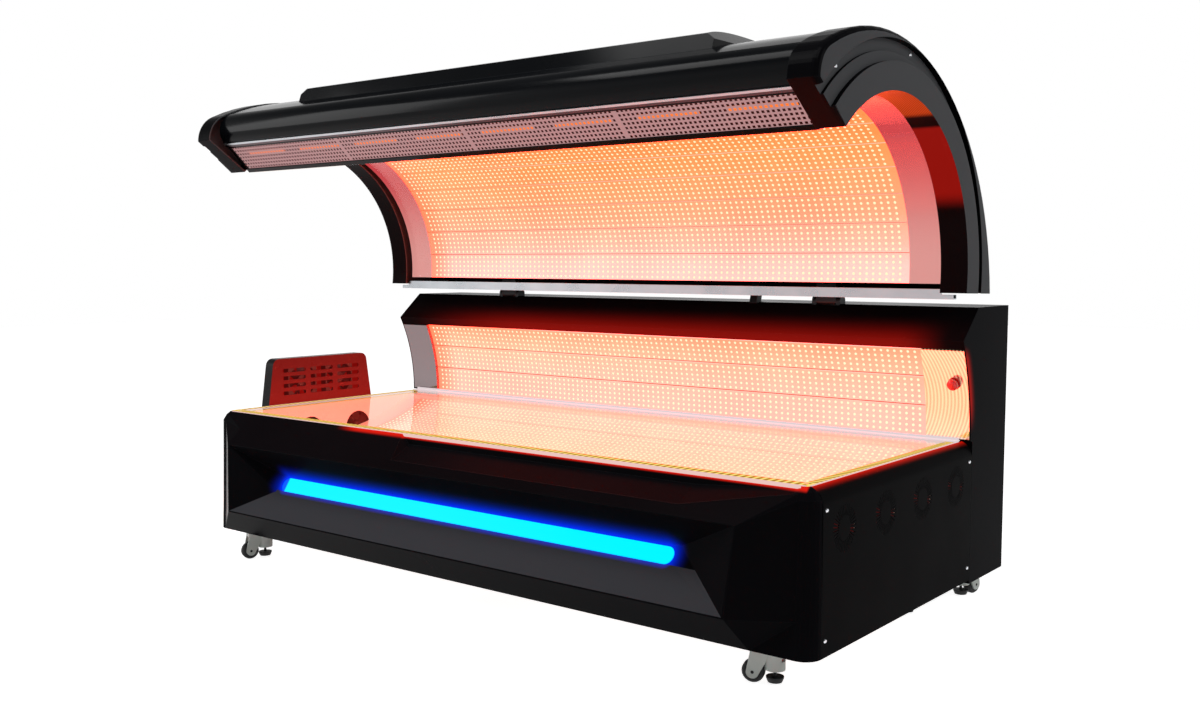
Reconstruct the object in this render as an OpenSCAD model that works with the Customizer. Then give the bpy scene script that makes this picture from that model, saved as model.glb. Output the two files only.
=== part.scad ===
// Red light therapy bed: a lying base on levelling castors, a rear column and a hinged canopy.
// X runs along the bed with the foot end at +X, Y from front to back, Z up from the floor.
// Profiles are drawn in (y, z), with y measured back from the front bottom edge of the base.

/* [Overall] */
// Length of the bed
bed_length = 2200; // [2160:10:2240]
// Depth of the lying base, from its front bottom edge to the column
bed_depth = 891; // [880:1:905]
// Depth of the rear column
column_depth = 246; // [240:1:262]
// Height of the lying surface
bed_top = 480; // [474:1:488]
// Height of the column
column_top = 844; // [838:1:852]
// Clear height under the base
base_clearance = 95; // [93:1:105]
// How far the column's skirt hangs below the base
skirt_drop = 10; // [4:1:12]
// Wall of the moulded covers
skin = 4; // [3:0.5:5]
// Clearance between pieces that seat on each other
seat = 0.3; // [0.2:0.05:0.4]

/* [Front fascia] */
// How far the brow's lip stands in front of the bottom edge
brow_reach = 62; // [50:1:66]
// Height of the brow's lip
brow_height = 392; // [385:1:400]
// Half length of the brow's lip
brow_half = 942; // [920:1:960]
// How far the lower lip stands in front of the bottom edge
lip_reach = 79; // [72:1:84]
// Height of the lower lip
lip_height = 181; // [172:1:190]
// Half length of the lower lip
lip_half = 923; // [900:1:940]
// Plan radius of the base's front corners
corner_r = 42; // [36:1:45]

/* [Light bar] */
// Half length of the light bar
bar_half = 740; // [700:1:745]
// Height of the light bar
bar_h = 46; // [38:1:48]
// Thickness of the light bar's lens
bar_lens_t = 6; // [4:0.5:8]

/* [Lying surface] */
// Thickness of the clear sheet
sheet_t = 9; // [6:0.5:10]
// Margin from the sheet's edge to the bed's outline at the ends
sheet_margin = 30; // [28:1:34]
// Radius of the curved light field under the sheet
bed_field_r = 700; // [680:5:760]
// Number of board strips in the bed
bed_strips = 9; // [6:1:11]
// Thickness of a light board
board_t = 1.6; // [1.2:0.2:2]
// Half length of the light fields
field_half = 972; // [940:1:980]

/* [Column] */
// Radius of the column's concave front
column_arc_r = 580; // [560:5:620]
// Number of board strips in the column
column_strips = 3; // [2:1:4]
// Thickness of the curved clear covers
cover_t = 3; // [2:0.5:4]

/* [Canopy] */
// Radius of the canopy's light field
canopy_field_r = 421; // [416:1:425]
// Outer radius of the canopy's shell
canopy_shell_r = 661; // [655:1:668]
// Radius of the shell's front nose
nose_r = 60; // [50:1:66]
// Number of board strips in the canopy
canopy_strips = 12; // [8:1:14]
// Width of an end cap
cap_w = 74; // [64:1:84]
// How far an end cap stands beyond the base's outline
cap_overhang = 14; // [8:1:18]
// Height of the raised housing on top
hump_h = 34; // [24:1:40]
// Half length of the raised housing at its top
hump_half = 702; // [640:1:730]
// Closing angle of the canopy
close_angle = 41; // [30:1:41]

/* [Front grille] */
// Distance between the grille's holes
grille_pitch = 13.4; // [13:0.2:15]
// Side of a grille hole
grille_hole = 8.4; // [6:0.2:10]
// Rows of grille holes
grille_rows = 7; // [3:1:7]
// Number of sheets that make up the grille
grille_sheets = 4; // [2:1:6]
// Number of lamps behind the grille
lamp_count = 8; // [4:1:10]

/* [Side fans] */
// Fans on each side
fan_count = 4; // [2:1:4]
// Distance between fans
fan_pitch = 212; // [150:1:216]
// Height of the fans' centres
fan_height = 372; // [360:1:385]
// Side of a fan's frame
fan_size = 120; // [110:1:120]
// Slots in each vent ring
vent_slots = 36; // [18:1:40]

/* [Hinge] */
// Half distance between the two hinges
hinge_half = 636; // [600:1:680]
// Width of a hinge's arm
arm_w = 64; // [40:1:70]
// Thickness of each cheek of a hinge
cheek_t = 14; // [8:1:16]
// Radius of a hinge's pin
pin_r = 8; // [6:0.5:9]
// Running clearance of pins in their bores
run = 0.05; // [0.02:0.01:0.09]
// Place of the lift actuator along the bed
actuator_x = 389; // [340:1:440]

/* [Castors] */
// Radius of a castor's wheel
wheel_r = 27; // [24:0.5:28]
// Width of a castor's wheel
wheel_w = 24; // [20:1:26]
// Distance from the swivel axis to the wheel's axle
trail = 50; // [49:0.5:54]
// Radius of a levelling pad
pad_r = 21; // [16:0.5:21]
// Height of the raised pad above the floor
pad_lift = 5; // [4:0.5:7]

/* [Head fan box] */
// Width of the box at its foot
box_w = 455; // [400:1:480]
// Width of the box at its top
box_top_w = 410; // [360:1:430]
// Height of the box above the lying surface
box_h = 156; // [130:1:180]
// Thickness of the box
box_t = 40; // [36:1:40]

/* [Stop button] */
// Height of the button's centre above the lying surface
button_rise = 160; // [140:1:180]
// Radius of the button's head
button_r = 15; // [13:0.5:17]
// Travel of the button
button_travel = 5; // [3:0.5:6]

/* [Hidden] */
half = bed_length / 2;
front_y = -(bed_depth + column_depth + lip_reach) / 2 + lip_reach;
back = bed_depth + column_depth;
column_bottom = base_clearance - skirt_drop;
sheet_half = half - sheet_margin;
sheet_front = 34;
trim_front = bed_depth - 47;
sheet_back = trim_front - seat;
sheet_under = bed_top - sheet_t;
shoulder_r = 43;
wall_x = half - skin;
tray_x = sheet_half - 3;
tray_t = 2;
panel_front = corner_r + 3;
panel_back = bed_depth - 1;
tube = 40;
tube_wall = 2;

bed_mid = bed_depth / 2;
field_edge_z = bed_top - 21;
field_chord = bed_mid - 96;
bed_field_a = asin(field_chord / bed_field_r);
bed_arc_c = [bed_mid, field_edge_z + bed_field_r * cos(bed_field_a)];

column_arc_c = [bed_depth + 13 - 26 - column_arc_r, bed_top + 10];
column_board_r = column_arc_r + cover_t + 8;
column_a0 = asin((bed_top + 1 + skin + seat - column_arc_c[1]) / (column_board_r + board_t));
column_a1 = asin((column_top - 112 - column_arc_c[1]) / column_arc_r);
column_strip_a1 = column_a1 - 0.35;
column_brow = [bed_depth - 90, column_top - 97];
column_crest = [bed_depth + 23, column_top];

canopy_c = [bed_depth - 486, column_top + 101];
shell_c = [canopy_c[0] - 100, canopy_c[1] - 113];
cap_c = [canopy_c[0] - 33, canopy_c[1] - 4];
face_c = [canopy_c[0] - 25, canopy_c[1] - 6];
groove_c = [canopy_c[0] - 53, canopy_c[1] - 7];
canopy_a0 = -7;
canopy_a1 = 132;
canopy_end = half + cap_overhang;
cap_in = canopy_end - cap_w;
shell_foot_z = canopy_c[1] - 63;
nose_a = 113.5;
nose_c = shell_c + (canopy_shell_r - nose_r) * [cos(nose_a), sin(nose_a)];
cap_nose_r = 90;
cap_nose_a = 115.7;
cap_shell_r = canopy_shell_r + 4;
cap_nose_c = shell_c + (cap_shell_r - cap_nose_r) * [cos(cap_nose_a), sin(cap_nose_a)];
field_x = field_half - 34;
face_top = [canopy_c[0] - 385, canopy_c[1] + 401];
face_tip = [canopy_c[0] - 293, canopy_c[1] + 312];
face_len = norm(face_tip - face_top);
face_dir = (face_tip - face_top) / face_len;
face_in = [-face_dir[1], face_dir[0]];

pivot = [bed_depth + 43, column_top + 8];
pivot_r = 17;
crank_a = [-25, -80];
tube_foot = [back - 40, column_top - 204];
clevis_gap = 1;
link_pin_r = 6;
crank_slot_half = 7;
fork_depth = 28;
stroke = 45;

button_a = asin((bed_top + button_rise - column_arc_c[1]) / column_arc_r);
button_x = half - 40;

castor_rows = [84, bed_depth - 91, back - 75];
castor_half = [962, 962, 1010];
castor_turns = [[200, 250], [235, 235], [75, 60]];
castor_plate_t = 3;

castor_names = [for (i = [1:6], p = ["body", "wheel", "dial", "pad"]) str("castor_", i, "_", p)];

// Helpers for profiles, extrusions and lofts
function arc(c, r, a0, a1, n) = [for (i = [0:n]) c + r * [cos(a0 + (a1 - a0) * i / n), sin(a0 + (a1 - a0) * i / n)]];
function joined(lists) = [for (list = lists, item = list) item];
function on_face(s, d) = face_top + s * face_dir + d * face_in;

module from_front() { translate([0, front_y, 0]) children(); }
module along_x(x0, x1) { translate([x0, 0, 0]) rotate([90, 0, 90]) linear_extrude(x1 - x0) children(); }
module along_y(y0, y1) { translate([0, y1, 0]) rotate([90, 0, 0]) linear_extrude(y1 - y0) children(); }
module at_both_ends() {
    children();
    mirror([1, 0, 0]) children();
}
module disc(c, r) { translate(c) circle(r = r, $fn = 240); }
module arc_strip(c, r, t, a0, a1) {
    intersection() {
        difference() {
            disc(c, r + t);
            disc(c, r);
        }
        polygon(concat([c], arc(c, 2 * (r + t), a0, a1, 6)));
    }
}
module cylinder_x(r, h) { rotate([0, 90, 0]) cylinder(r = r, h = h, $fn = 48); }

// A closed skin through sections that have the same number of points; a crescent's ends are
// closed in strips between its inner and outer curve
function end_faces(n, from, crescent) = crescent
    ? [for (i = [0:n / 2 - 2]) [for (k = [i, i + 1, n - 2 - i, n - 1 - i]) from + k]]
    : [[for (i = [0:n - 1]) from + i]];
function turned(face) = [for (i = [len(face) - 1:-1:0]) face[i]];
module loft(sections, crescent = false) {
    n = len(sections[0]);
    last = (len(sections) - 1) * n;
    polyhedron(joined(sections), concat(
        end_faces(n, 0, crescent),
        [for (face = end_faces(n, last, crescent)) turned(face)],
        [for (s = [0:len(sections) - 2], i = [0:n - 1]) [s * n + i, (s + 1) * n + i, s * n + (i + 1) % n]],
        [for (s = [0:len(sections) - 2], i = [0:n - 1])
            [s * n + (i + 1) % n, (s + 1) * n + i, (s + 1) * n + (i + 1) % n]]
    ));
}

// Curved board strips with a fine seam between them
module board_rows(c, r, a0, a1, count) {
    step = (a1 - a0) / count;
    seam = 0.12;
    for (i = [0:count - 1])
        arc_strip(c, r, board_t, a0 + i * step + seam, a0 + (i + 1) * step - seam);
}

// Base frame: welded tubes, curved ribs under the light tray and posts for the column
module tube_box(lo, hi, open) {
    difference() {
        translate(lo) cube(hi - lo);
        translate(lo + [for (i = [0:2]) i == open ? -1 : tube_wall])
            cube(hi - lo + [for (i = [0:2]) i == open ? 2 : -2 * tube_wall]);
    }
}
rail_reach = wall_x - 30;
long_rails = [-rail_reach + 1, -tube / 2, rail_reach - tube - 1];
module frame_rails(grow) {
    foot = base_clearance + grow;
    lift = tube - 2 * grow;
    for (y = castor_rows) translate([-rail_reach, y - tube / 2 + grow, foot]) cube([2 * rail_reach, lift, lift]);
    for (x = long_rails)
        translate([x + grow, castor_rows[0] - tube / 2 + 1, foot])
            cube([lift, castor_rows[2] - castor_rows[0] + tube - 2, lift]);
}
module bed_rib_profile() {
    rib_r = bed_field_r + board_t + tray_t + 2 * seat;
    difference() {
        translate([castor_rows[0] - tube / 2, base_clearance + tube - 1])
            square([castor_rows[1] - castor_rows[0] + tube, field_edge_z - base_clearance - tube]);
        disc(bed_arc_c, rib_r);
    }
}
module base_frame() {
    post_y = castor_rows[2];
    post_top = column_top - 30;
    color("dimgray") from_front() {
        difference() {
            frame_rails(0);
            frame_rails(tube_wall);
        }
        for (x = [-900, -330, 330, 900]) along_x(x - 2, x + 2) bed_rib_profile();
        for (x = [-half + 100, -hinge_half, hinge_half, half - 100])
            tube_box([x - tube / 2, post_y - tube / 2, base_clearance + tube - 1],
                     [x + tube / 2, post_y + tube / 2, post_top], 2);
        tube_box([-wall_x + 30, post_y - tube / 2 + 1, post_top - tube],
                 [wall_x - 30, post_y + tube / 2 - 1, post_top - 1], 0);
        tube_box([-hinge_half, post_y - tube / 2 + 1, tube_foot[1] - 24 - tube],
                 [hinge_half, post_y + tube / 2 - 1, tube_foot[1] - 24], 0);
        for (x = [-9 - clevis_gap - 5, 9 + clevis_gap])
            along_x(actuator_x + x, actuator_x + x + 5) clevis_profile();
        translate([actuator_x - 9 - clevis_gap - 5, tube_foot[0], tube_foot[1]])
            cylinder_x(link_pin_r, 2 * (9 + clevis_gap + 5));
        for (i = [0:5]) translate([castor_place(i)[0], castor_place(i)[1], 0]) {
            translate([0, 0, base_clearance - castor_plate_t]) cylinder(r = 36, h = castor_plate_t, $fn = 48);
            translate([0, 0, base_clearance - castor_plate_t - 6]) cylinder(r = 12, h = 8, $fn = 48);
        }
    }
}
module clevis_profile() {
    low = tube_foot[1] - 24 - tube / 2;
    translate(tube_foot) circle(r = 11, $fn = 48);
    polygon([tube_foot + [-11, 0], [tube_foot[0] - 11, tube_foot[1] - 24], [castor_rows[2] + tube / 2 - 3, tube_foot[1] - 24],
        [castor_rows[2] + tube / 2 - 3, low], [tube_foot[0] + 11, low], tube_foot + [11, 0]]);
}

// Front fascia: five levels from the bottom edge to the sheet, blended into round corners
fascia_z = [base_clearance, lip_height, 450, 468, bed_top - 2];
fascia_end_y = [0, 4, 13, 24, sheet_front - 1];
fascia_inset = [0, 0, 2, 13, 29];
fascia_mid = [
    [half - 158, 0, base_clearance],
    [lip_half, -lip_reach, lip_height],
    [brow_half, -brow_reach, brow_height],
    [half - 158, (sheet_front - 1 - brow_reach) / 2, (brow_height + bed_top - 2) / 2],
    [half - 158, sheet_front - 1, bed_top - 2]
];
fascia_push = [[1, 1], [1.15, 0.1], [1.35, -0.25], [0.75, -0.75], [0.4, -1]];
function fascia_back(x, g) = [[x, panel_front + 2 * g, bed_top - 2 - g], [x, panel_front + 2 * g, base_clearance + g]];
function fascia_corner(a, g) = let (x = half - corner_r) concat(
    [for (i = [0:4]) [
        x + (corner_r - fascia_inset[i] - g) * sin(a),
        panel_front - 1 - (panel_front - 1 - fascia_end_y[i] - g * fascia_push[i][0]) * cos(a),
        fascia_z[i] + g * fascia_push[i][1]
    ]],
    fascia_back(x + (corner_r - 29 - g) * sin(a), g)
);
function fascia_middle(g) = concat(
    [for (i = [0:4]) fascia_mid[i] + g * [-0.6, fascia_push[i][0], fascia_push[i][1]]],
    fascia_back(half - 158, g)
);
function flipped(section) = [for (p = section) [-p[0], p[1], p[2]]];
module fascia_block(g) {
    half_sections = concat([fascia_middle(g)], [for (a = [0:15:90]) fascia_corner(a, g)]);
    loft(concat([for (i = [len(half_sections) - 1:-1:0]) half_sections[i]],
        [for (section = half_sections) flipped(section)]));
}
bar_low = [-22, 258];
bar_high = [8, 304];
recess_mouth = [
    [brow_half - 2, -brow_reach - 0.4, brow_height - 1], [lip_half - 4, -lip_reach - 0.4, lip_height + 3],
    [-lip_half + 4, -lip_reach - 0.4, lip_height + 3], [-brow_half + 2, -brow_reach - 0.4, brow_height - 1]
];
recess_floor = [
    [bar_half + 12, bar_high[0], bar_high[1]], [bar_half + 12, bar_low[0], bar_low[1]],
    [-bar_half - 12, bar_low[0], bar_low[1]], [-bar_half - 12, bar_high[0], bar_high[1]]
];
module fascia_recess(shift) {
    translate([0, shift, 0]) loft([[for (p = recess_mouth) p - [0, 6, 0]], recess_mouth, recess_floor]);
}
// The long scoop in the brow's top edge: its section shrinks to nothing at both ends
function scoop_section(x, k) = let (y0 = sheet_front - seat, drop = 27 * k, reach = 70 * k) [
    [x, y0 - reach - 4, bed_top + 4], [x, y0 - reach, bed_top - 3 - reach * 0.895 - 2 * k],
    [x, y0, bed_top - 3 - drop], [x, y0, bed_top + 4]
];
module fascia_scoop(wall) {
    translate([0, wall, -wall])
        loft([scoop_section(-232, 0.02), scoop_section(-205, 1), scoop_section(half - 330, 1),
            scoop_section(half - 62, 0.25), scoop_section(half - 40, 0.02)]);
}
module bar_frame(d) {
    lean = atan2(bar_high[0] - bar_low[0], bar_high[1] - bar_low[1]);
    translate([0, (bar_low[0] + bar_high[0]) / 2, (bar_low[1] + bar_high[1]) / 2])
        rotate([90 - lean, 0, 0]) translate([0, 0, d]) children();
}
module pill(grow) {
    r = bar_h / 2 + grow;
    for (s = [-1, 1]) translate([s * (bar_half - bar_h / 2), 0]) circle(r = r, $fn = 48);
    square([2 * bar_half - bar_h, 2 * r], center = true);
}
module sheet_outline(grow) {
    r = 20;
    translate([0, sheet_front - grow])
        difference() {
            translate([-sheet_half - grow, 0]) square([2 * (sheet_half + grow), sheet_back - sheet_front + 2 * grow]);
            for (s = [-1, 1]) scale([s, 1]) translate([sheet_half + grow - r, 0]) difference() {
                translate([0, -1]) square([r + 1, r + 1]);
                translate([0, r]) circle(r = r, $fn = 48);
            }
        }
}
module front_fascia() {
    color("#0d0d0f") from_front() {
        difference() {
            fascia_block(0);
            difference() {
                fascia_block(skin);
                fascia_recess(skin * 1.25);
                fascia_scoop(skin);
            }
            fascia_recess(0);
            fascia_scoop(0);
            bar_frame(-skin * 3) linear_extrude(skin * 6) pill(0);
            translate([0, 0, sheet_under - seat]) linear_extrude(bed_top) sheet_outline(seat);
        }
        at_both_ends() for (z = [base_clearance + 30, bed_top - 62]) translate([wall_x - seat - skin, panel_front - 8, z])
            difference() {
                cube([skin, 40, 18]);
                translate([-1, 24, 8]) cylinder_x(2.7, skin + 2);
            }
    }
}
module light_bar_lens() {
    color("cyan") from_front() bar_frame(-skin - bar_lens_t + 1) linear_extrude(bar_lens_t) pill(-seat);
}
module light_bar_carrier() {
    depth = 16;
    color("silver") from_front() bar_frame(-skin - bar_lens_t + 1 - seat - depth) difference() {
        linear_extrude(depth) pill(3);
        translate([0, 0, 2]) linear_extrude(depth) pill(0);
    }
}

// Side panels: a rolled shoulder, a ledge for the clear sheet and four slotted vent rings
module side_profile() {
    roll = [half - shoulder_r, bed_top - shoulder_r];
    ledge = sheet_under - seat;
    rail_end = wall_x - 30 + seat;
    polygon(concat(
        [[half, base_clearance]],
        arc(roll, shoulder_r, 0, 70, 10),
        [[sheet_half + 2 * seat, bed_top - 2], [sheet_half + 2 * seat, ledge], [tray_x + seat, ledge],
            [tray_x + seat, ledge - skin], [sheet_half + 4, ledge - skin]],
        arc(roll, shoulder_r - skin, 52, 0, 8),
        [[wall_x, base_clearance + skin], [rail_end, base_clearance + skin], [rail_end, base_clearance]]
    ));
}
fan_places = [for (i = [0:fan_count - 1]) bed_mid + 20 + (i - (fan_count - 1) / 2) * fan_pitch];
screw_places = [for (y = [61, bed_depth - 17], z = [base_clearance + 38, bed_top - 54]) [y, z]];
module side_panel() {
    slot = 2.4;
    from_front() difference() {
        along_y(panel_front + seat, panel_back) side_profile();
        for (y = fan_places) translate([wall_x - 1, y, fan_height])
            for (i = [0:vent_slots - 1]) rotate([i * 360 / vent_slots, 0, 0])
                translate([0, 28, -slot / 2]) cube([skin + 2, fan_size / 2 - 33, slot]);
        for (p = screw_places) translate([wall_x - 1, p[0], p[1]]) cylinder_x(2.7, skin + 2);
    }
}
module side_panel_right() { color("#101012") side_panel(); }
module side_panel_left() { color("#101012") mirror([1, 0, 0]) side_panel(); }

// Tray under the light boards: curved floor, flat lips under the sheet and end walls with fan holes
module led_tray() {
    r = bed_field_r + board_t + seat;
    lip_z = sheet_under - seat - tray_t;
    front_edge = bed_mid - field_chord;
    rear_edge = bed_mid + field_chord;
    color("lightpink") from_front() {
        along_x(-tray_x, tray_x) {
            arc_strip(bed_arc_c, r, tray_t, -90 - bed_field_a, -90 + bed_field_a);
            translate([panel_front + 1, lip_z]) square([front_edge - panel_front - 1, tray_t]);
            translate([rear_edge, lip_z]) square([panel_back - rear_edge - 2, tray_t]);
            for (y = [front_edge - tray_t, rear_edge])
                translate([y, field_edge_z - 1.3 * tray_t]) square([tray_t, lip_z - field_edge_z + 2.3 * tray_t]);
        }
        at_both_ends() difference() {
            along_x(tray_x - tray_t, tray_x) translate([panel_front + 1, base_clearance + 150])
                square([panel_back - panel_front - 3, lip_z - base_clearance - 149]);
            for (y = fan_places) translate([tray_x - tray_t - 1, y, fan_height])
                cylinder_x(fan_size / 2 - 5, tray_t + 2);
        }
    }
}
module bed_led_boards() {
    color("bisque") from_front() along_x(-field_half, field_half)
        board_rows(bed_arc_c, bed_field_r, -90 - bed_field_a, -90 + bed_field_a, bed_strips);
}
sheet_screws = [for (x = [-1, 1], y = [62, sheet_back - 22]) [x * (sheet_half - 22), y]];
module bed_acrylic() {
    color("mistyrose", 0.4) from_front() translate([0, 0, sheet_under]) difference() {
        linear_extrude(sheet_t) sheet_outline(0);
        for (p = sheet_screws) translate([p[0], p[1], 0]) {
            translate([0, 0, -1]) cylinder(r = 3 + seat, h = sheet_t + 2, $fn = 24);
            translate([0, 0, sheet_t - 3]) cylinder(r1 = 3 + 2.5 * seat, r2 = 7 + 2.5 * seat, h = 4, $fn = 24);
        }
    }
}
module button_screw(r, head_r, head_h, length) {
    cylinder(r = r, h = length, $fn = 24);
    translate([0, 0, -head_h]) cylinder(r1 = head_r * 0.7, r2 = head_r, h = head_h, $fn = 24);
}
module panel_screws() {
    color("silver") from_front() {
        at_both_ends() for (p = screw_places) translate([half, p[0], p[1]])
            rotate([0, -90, 0]) button_screw(2.5, 5, 2.5, 14);
        for (p = sheet_screws) translate([p[0], p[1], sheet_under]) {
            cylinder(r = 3, h = sheet_t - 3, $fn = 24);
            translate([0, 0, sheet_t - 3 - seat]) cylinder(r1 = 3, r2 = 6, h = 3, $fn = 24);
        }
    }
}

// Axial fans behind the vent rings, each a square frame with a seven-blade rotor on its boss
module axial_fan() {
    ring = fan_size / 2 - 4;
    deep = 25;
    difference() {
        translate([0, -fan_size / 2, -fan_size / 2]) cube([deep, fan_size, fan_size]);
        translate([-1, 0, 0]) cylinder_x(ring, deep + 2);
    }
    for (a = [0, 60, 120]) translate([deep - 3.5, 0, 0]) rotate([a, 0, 0]) translate([0, -3, -ring - 1])
        cube([3, 6, 2 * ring + 2]);
    translate([deep - 4, 0, 0]) cylinder_x(20, 3.5);
    translate([deep - 12, 0, 0]) cylinder_x(5, 10);
    difference() {
        union() {
            translate([2, 0, 0]) cylinder_x(19, deep - 7.5);
            for (i = [0:6]) rotate([i * 360 / 7, 0, 0]) translate([deep / 2 - 1, 0, 17])
                rotate([0, 0, 38]) translate([-1, -13, 0]) cube([2, 26, ring - 19.5]);
        }
        translate([deep - 12.5, 0, 0]) cylinder_x(5 + run, 12);
    }
}
module cooling_fans() {
    color("#2a1010") from_front() {
        at_both_ends() for (y = fan_places) translate([tray_x + seat, y, fan_height]) axial_fan();
        mirror([1, 0, 0]) for (s = [-1, 1]) translate([box_x + 3 + seat, box_mid + s * 80, bed_top + 75]) axial_fan();
    }
}

// Column: shell with end cheeks whose front edge follows the concave arc
module column_outline(t) {
    foot = bed_top + 1 + t;
    difference() {
        polygon([
            [bed_depth + t, column_bottom + t], [bed_depth + t, foot], [bed_depth - 150, foot],
            column_arc_c + (column_arc_r + t) * [cos(column_a1), sin(column_a1)],
            column_brow + [1.6 * t, -0.2 * t], column_crest + [0.5 * t, -t],
            [back - t, column_top - t], [back - t, column_bottom + t]
        ]);
        disc(column_arc_c, column_arc_r + t);
    }
}
crank_slot = [bed_depth + 12, bed_depth + 72];
module column_housing() {
    window_lo = bed_top + 1 + skin;
    window_hi = column_top - 112;
    color("#0d0d0f") from_front() {
        difference() {
            along_x(-half, half) column_outline(0);
            along_x(-wall_x, wall_x) column_outline(skin);
            along_x(-wall_x, wall_x) polygon([[bed_depth - 200, window_lo], [bed_depth + 8, window_lo],
                [bed_depth + 8, window_hi - 40], [bed_depth - 40, window_hi], [bed_depth - 200, window_hi]]);
            translate([-half + 12, back - skin - 1, column_bottom + 12])
                cube([bed_length - 24, skin + 2, column_top - column_bottom - 24]);
            translate([-half + skin, bed_depth + skin, column_bottom - 1])
                cube([bed_length - 2 * skin, column_depth - 2 * skin, skin + 2]);
            for (x = long_rails) translate([x - seat, bed_depth - 1, base_clearance - seat])
                cube([tube + 2 * seat, skin + 2, tube + 2 * seat]);
            for (s = [-1, 1]) translate([s * hinge_half - arm_w / 2 - cheek_t - 2, crank_slot[0] + 6, column_top - skin - 6])
                cube([arm_w + 2 * cheek_t + 4, crank_slot[1] - crank_slot[0] - 12, skin + 20]);
            translate([actuator_x - 22, crank_slot[0] + 6, column_top - skin - 6])
                cube([44, crank_slot[1] - crank_slot[0] - 12, skin + 20]);
        }
        at_both_ends() for (z = [base_clearance + 25, bed_top - 67]) translate([wall_x - seat - skin, bed_depth - 30, z])
            difference() {
                cube([skin, 31 + skin, 24]);
                translate([-1, 13, 13]) cylinder_x(2.7, skin + 2);
            }
    }
}
module column_rear_cover() {
    color("#151517") from_front() difference() {
        translate([-half + 12 + seat, back - skin, column_bottom + 12 + seat])
            cube([bed_length - 24 - 2 * seat, 2, column_top - column_bottom - 24 - 2 * seat]);
        for (x = [-600:50:600], z = [column_bottom + 90, column_top - 150])
            translate([x, back - skin - 1, z]) rotate([-90, 0, 0]) rounded_slot(6, 40, 4);
        translate([-half + 180, back - skin - 1, column_bottom + 60]) cube([28, 4, 36]);
    }
}
module rounded_slot(w, length, h) {
    linear_extrude(h) {
        square([w, length - w], center = true);
        for (s = [-1, 1]) translate([0, s * (length - w) / 2]) circle(r = w / 2, $fn = 24);
    }
}
module column_led_boards() {
    color("peachpuff") from_front() along_x(-field_half, field_half)
        board_rows(column_arc_c, column_board_r, column_a0, column_strip_a1, column_strips);
}
module column_acrylic() {
    color("mistyrose", 0.4) from_front() along_x(-field_half, field_half)
        arc_strip(column_arc_c, column_arc_r, cover_t, column_a0, column_strip_a1);
}
module column_filler_strips() {
    color("lightpink") from_front() difference() {
        at_both_ends() along_x(field_half + seat, wall_x - seat)
            arc_strip(column_arc_c, column_arc_r, board_t + cover_t + 8, column_a0, column_strip_a1);
        at_button() translate([0, 0, -30]) cylinder(r = 11 + run, h = 60, $fn = 48);
    }
}
module column_ledge_trim() {
    lip = column_arc_c[0] + column_arc_r - seat;
    foot = sheet_under;
    color("whitesmoke") from_front() along_x(-sheet_half + seat, sheet_half - seat) {
        translate([trim_front, bed_top]) square([lip - trim_front, 3]);
        translate([trim_front, foot]) square([3, bed_top - foot + 1]);
        translate([lip - 9, foot]) square([3, bed_top - foot + 9]);
    }
}

// Stop button on the foot-end filler strip: a collar with a sliding mushroom head
module at_button() {
    translate([button_x, column_arc_c[0] + column_arc_r * cos(button_a), column_arc_c[1] + column_arc_r * sin(button_a)])
        rotate([90 + button_a, 0, 0]) children();
}
module button_collar() {
    color("darkred") from_front() at_button() difference() {
        union() {
            translate([0, 0, 0.5]) cylinder(r = 17, h = 5, $fn = 48);
            translate([0, 0, -24]) cylinder(r = 11, h = 26, $fn = 48);
            translate([0, 0, -24]) cylinder(r = 14, h = 6, $fn = 48);
        }
        translate([0, 0, -20]) cylinder(r = 5, h = 40, $fn = 48);
    }
}
module button_head() {
    color("red") from_front() at_button() {
        translate([0, 0, -14]) cylinder(r = 5 - run, h = 14 + 6 + button_travel, $fn = 48);
        translate([0, 0, 5.5 + button_travel + seat]) cylinder(r = 10, h = 4, $fn = 48);
        intersection() {
            translate([0, 0, 8.5 + button_travel]) cylinder(r = button_r, h = 12, $fn = 48);
            translate([0, 0, 20 + button_travel - 1.6 * button_r]) sphere(r = 1.6 * button_r, $fn = 64);
        }
    }
}

// Hinges: fixed cheeks with their pins, and the lift actuator between base and canopy crank
module hinge_brackets() {
    foot = column_top - 60;
    color("#1c1c1e") from_front() for (s = [-1, 1]) translate([s * hinge_half, 0, 0]) {
        for (x = [-arm_w / 2 - cheek_t, arm_w / 2]) translate([x, pivot[0], 0]) difference() {
            union() {
                translate([0, 0, pivot[1]]) cylinder_x(pivot_r, cheek_t);
                translate([0, -pivot_r, foot]) cube([cheek_t, 2 * pivot_r, pivot[1] - foot]);
                translate([0, -pivot_r, foot - 20]) cube([cheek_t, castor_rows[2] - tube / 2 - pivot[0] + pivot_r, 24]);
            }
            translate([-1, 0, pivot[1]]) cylinder_x(pin_r, cheek_t + 2);
        }
        translate([-arm_w / 2 - cheek_t, pivot[0], pivot[1]]) cylinder_x(pin_r, arm_w + 2 * cheek_t);
        translate([-arm_w / 2 - cheek_t, castor_rows[2] - tube / 2 - 4, foot - 20])
            cube([arm_w + 2 * cheek_t, 4, 24]);
    }
}
crank_at = pivot + crank_a;
stroke_dir = (crank_at - tube_foot) / norm(crank_at - tube_foot);
stroke_angle = atan2(stroke_dir[1], stroke_dir[0]);
rod_length = norm(crank_at - tube_foot);
module along_stroke(d) {
    translate([actuator_x, tube_foot[0], tube_foot[1]]) rotate([stroke_angle - 90, 0, 0]) translate([0, 0, d]) children();
}
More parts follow.
